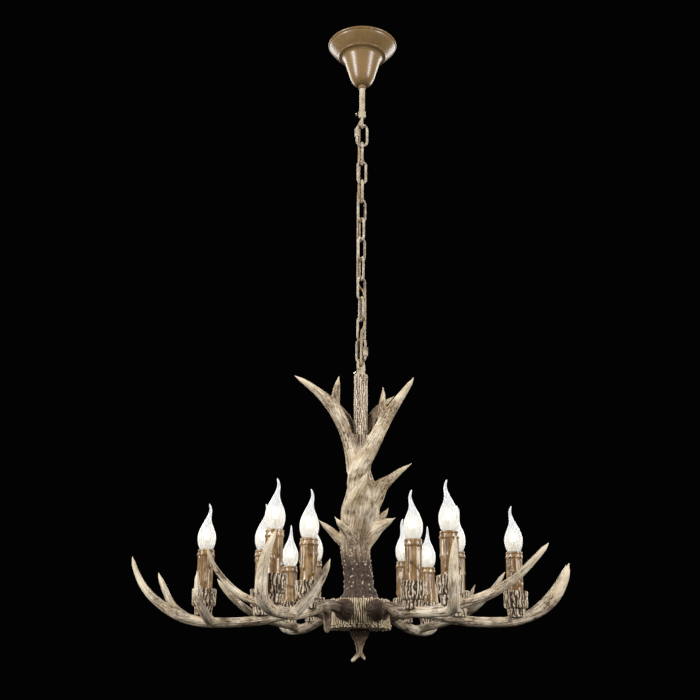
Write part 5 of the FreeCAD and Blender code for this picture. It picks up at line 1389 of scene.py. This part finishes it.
glass = Finish("lit_glass", Transmission_Weight=0.74, IOR=1.25, Emission_Strength=1.0)
glass.colour((0.84, 0.84, 0.84, 1.0))
glass.join(glass.ramp(glass.marked("rise"), GLOW), glass.shader.inputs["Emission Color"])
glass.roughen(glass.ramp(glass.cloud(60.0, 2.0, stretch=(1.0, 1.0, 0.3)), [(0.3, 0.27), (0.7, 0.33)]))
hot_wire = two_tone("hot_wire", (1.0, 0.8, 0.5, 1.0), (1.0, 0.9, 0.7, 1.0), 900.0, Roughness=0.4,
                    Emission_Strength=4.0, Emission_Color=(1.0, 0.84, 0.58, 1.0))
lead_wire = two_tone("lead_wire", tint(62, 50, 40), tint(96, 80, 64), 700.0, Roughness=0.35, Metallic=1.0)


def glass_rows(wall, table, way):
    """Rows of the glass skin, moved in by its wall."""
    east = math.cos(math.radians(way))
    north = math.sin(math.radians(way))
    rows = []
    for share, ratio, bend in table:
        level = GLASS_LOW + wall + (GLASS_HEIGHT - 2 * wall) * share
        rows.append((TIP_BEND * bend * east, TIP_BEND * bend * north, level, GLASS_RADIUS * ratio - wall))
    return smooth_run(rows, 2.2)


def glass_skin(rows):
    """A drawn skin, closed at its last ring only."""
    bm = drawn(rows, 40, cap=False)
    highest = max(vert.co.z for vert in bm.verts)
    rim = [edge for edge in bm.edges if edge.is_boundary and edge.verts[0].co.z > highest - 0.002]
    bmesh.ops.contextual_create(bm, geom=rim)
    return bm


def screw_cap():
    """The brass cap: a skirt with a rolled thread and a contact at its foot."""
    outline = [(0.0, 0.0), (2.4, 0.0), (3.2, 1.0), (3.4, 3.0), (6.0, 3.6)]
    outline += [(6.45 + 0.4 * math.sin(math.tau * step / 6.0), 4.6 + 0.5 * step) for step in range(33)]
    outline += [(6.8, 21.4), (6.8, CAP_HEIGHT + 0.6), (0.0, CAP_HEIGHT + 0.6)]
    return turned(raised(outline, GLASS_LOW - CAP_HEIGHT), 32, closed=False)


def glow_parts(way):
    """Glass stem, two leads and the hairpin coil that hangs round them."""
    stem = turned(raised([(0.0, 1.0), (5.2, 1.0), (3.6, 3.0), (2.0, 6.0), (1.4, 9.0), (0.0, 9.6)], GLASS_LOW),
                  20, closed=False)
    leads = []
    for side in (-1.0, 1.0):
        rows = smooth_run([(0.8 * side, 0, GLASS_LOW + 8.0, 0.5), (1.6 * side, 0, GLASS_LOW + 14.0, 0.5),
                           (3.4 * side, 0, COIL_LOW, 0.4)], 3.0)
        leads.append(drawn(rows, 8))
    turns = []
    for step in range(COIL_STEPS + 1):
        angle = math.pi * step / COIL_STEPS * 1.9
        swing = 0.5 - 0.5 * math.cos(math.tau * step / 12.0)
        tall = 8.0 + 10.0 * math.sin(math.pi * step / COIL_STEPS)
        wide = 3.4 + 1.2 * swing * (1.0 - swing)
        turns.append((wide * math.cos(angle), wide * math.sin(angle), COIL_LOW + tall * swing, 0.42))
    coil = drawn(np.array(turns), 6)
    return [moved(part, about(way + 90.0)) for part in [stem] + leads + [coil]]


for number, ((x, y), way) in enumerate(zip(LIGHTS, TIP_WAYS), start=1):
    shell = merged([glass_skin(glass_rows(0.0, GLASS, way)),
                    glass_skin(glass_rows(GLASS_WALL, GLASS[:-3], way))])
    bmesh.ops.bridge_loops(shell, edges=[edge for edge in shell.edges if edge.is_boundary])
    bmesh.ops.recalc_face_normals(shell, faces=shell.faces)
    stem, first_lead, second_lead, coil = glow_parts(way)
    parts = [(shell, 0), (stem, 0), (first_lead, 2), (second_lead, 2), (coil, 1), (screw_cap(), 3)]
    for part, finish in parts:
        for face in part.faces:
            face.material_index = finish
    bulb_bm = merged([part for part, finish in parts])
    rise = bulb_bm.verts.layers.float.new("rise")
    for vert in bulb_bm.verts:
        vert[rise] = min(1.0, max(0.0, (vert.co.z / MM - GLASS_LOW) / GLASS_HEIGHT))
    hang("flame_bulb_%02d" % number, moved(bulb_bm, at(x, y, 0)), [glass, hot_wire, lead_wire, aged_brass],
         "lamp_%02d" % number, ["bulb_%02d" % number], 60.0)
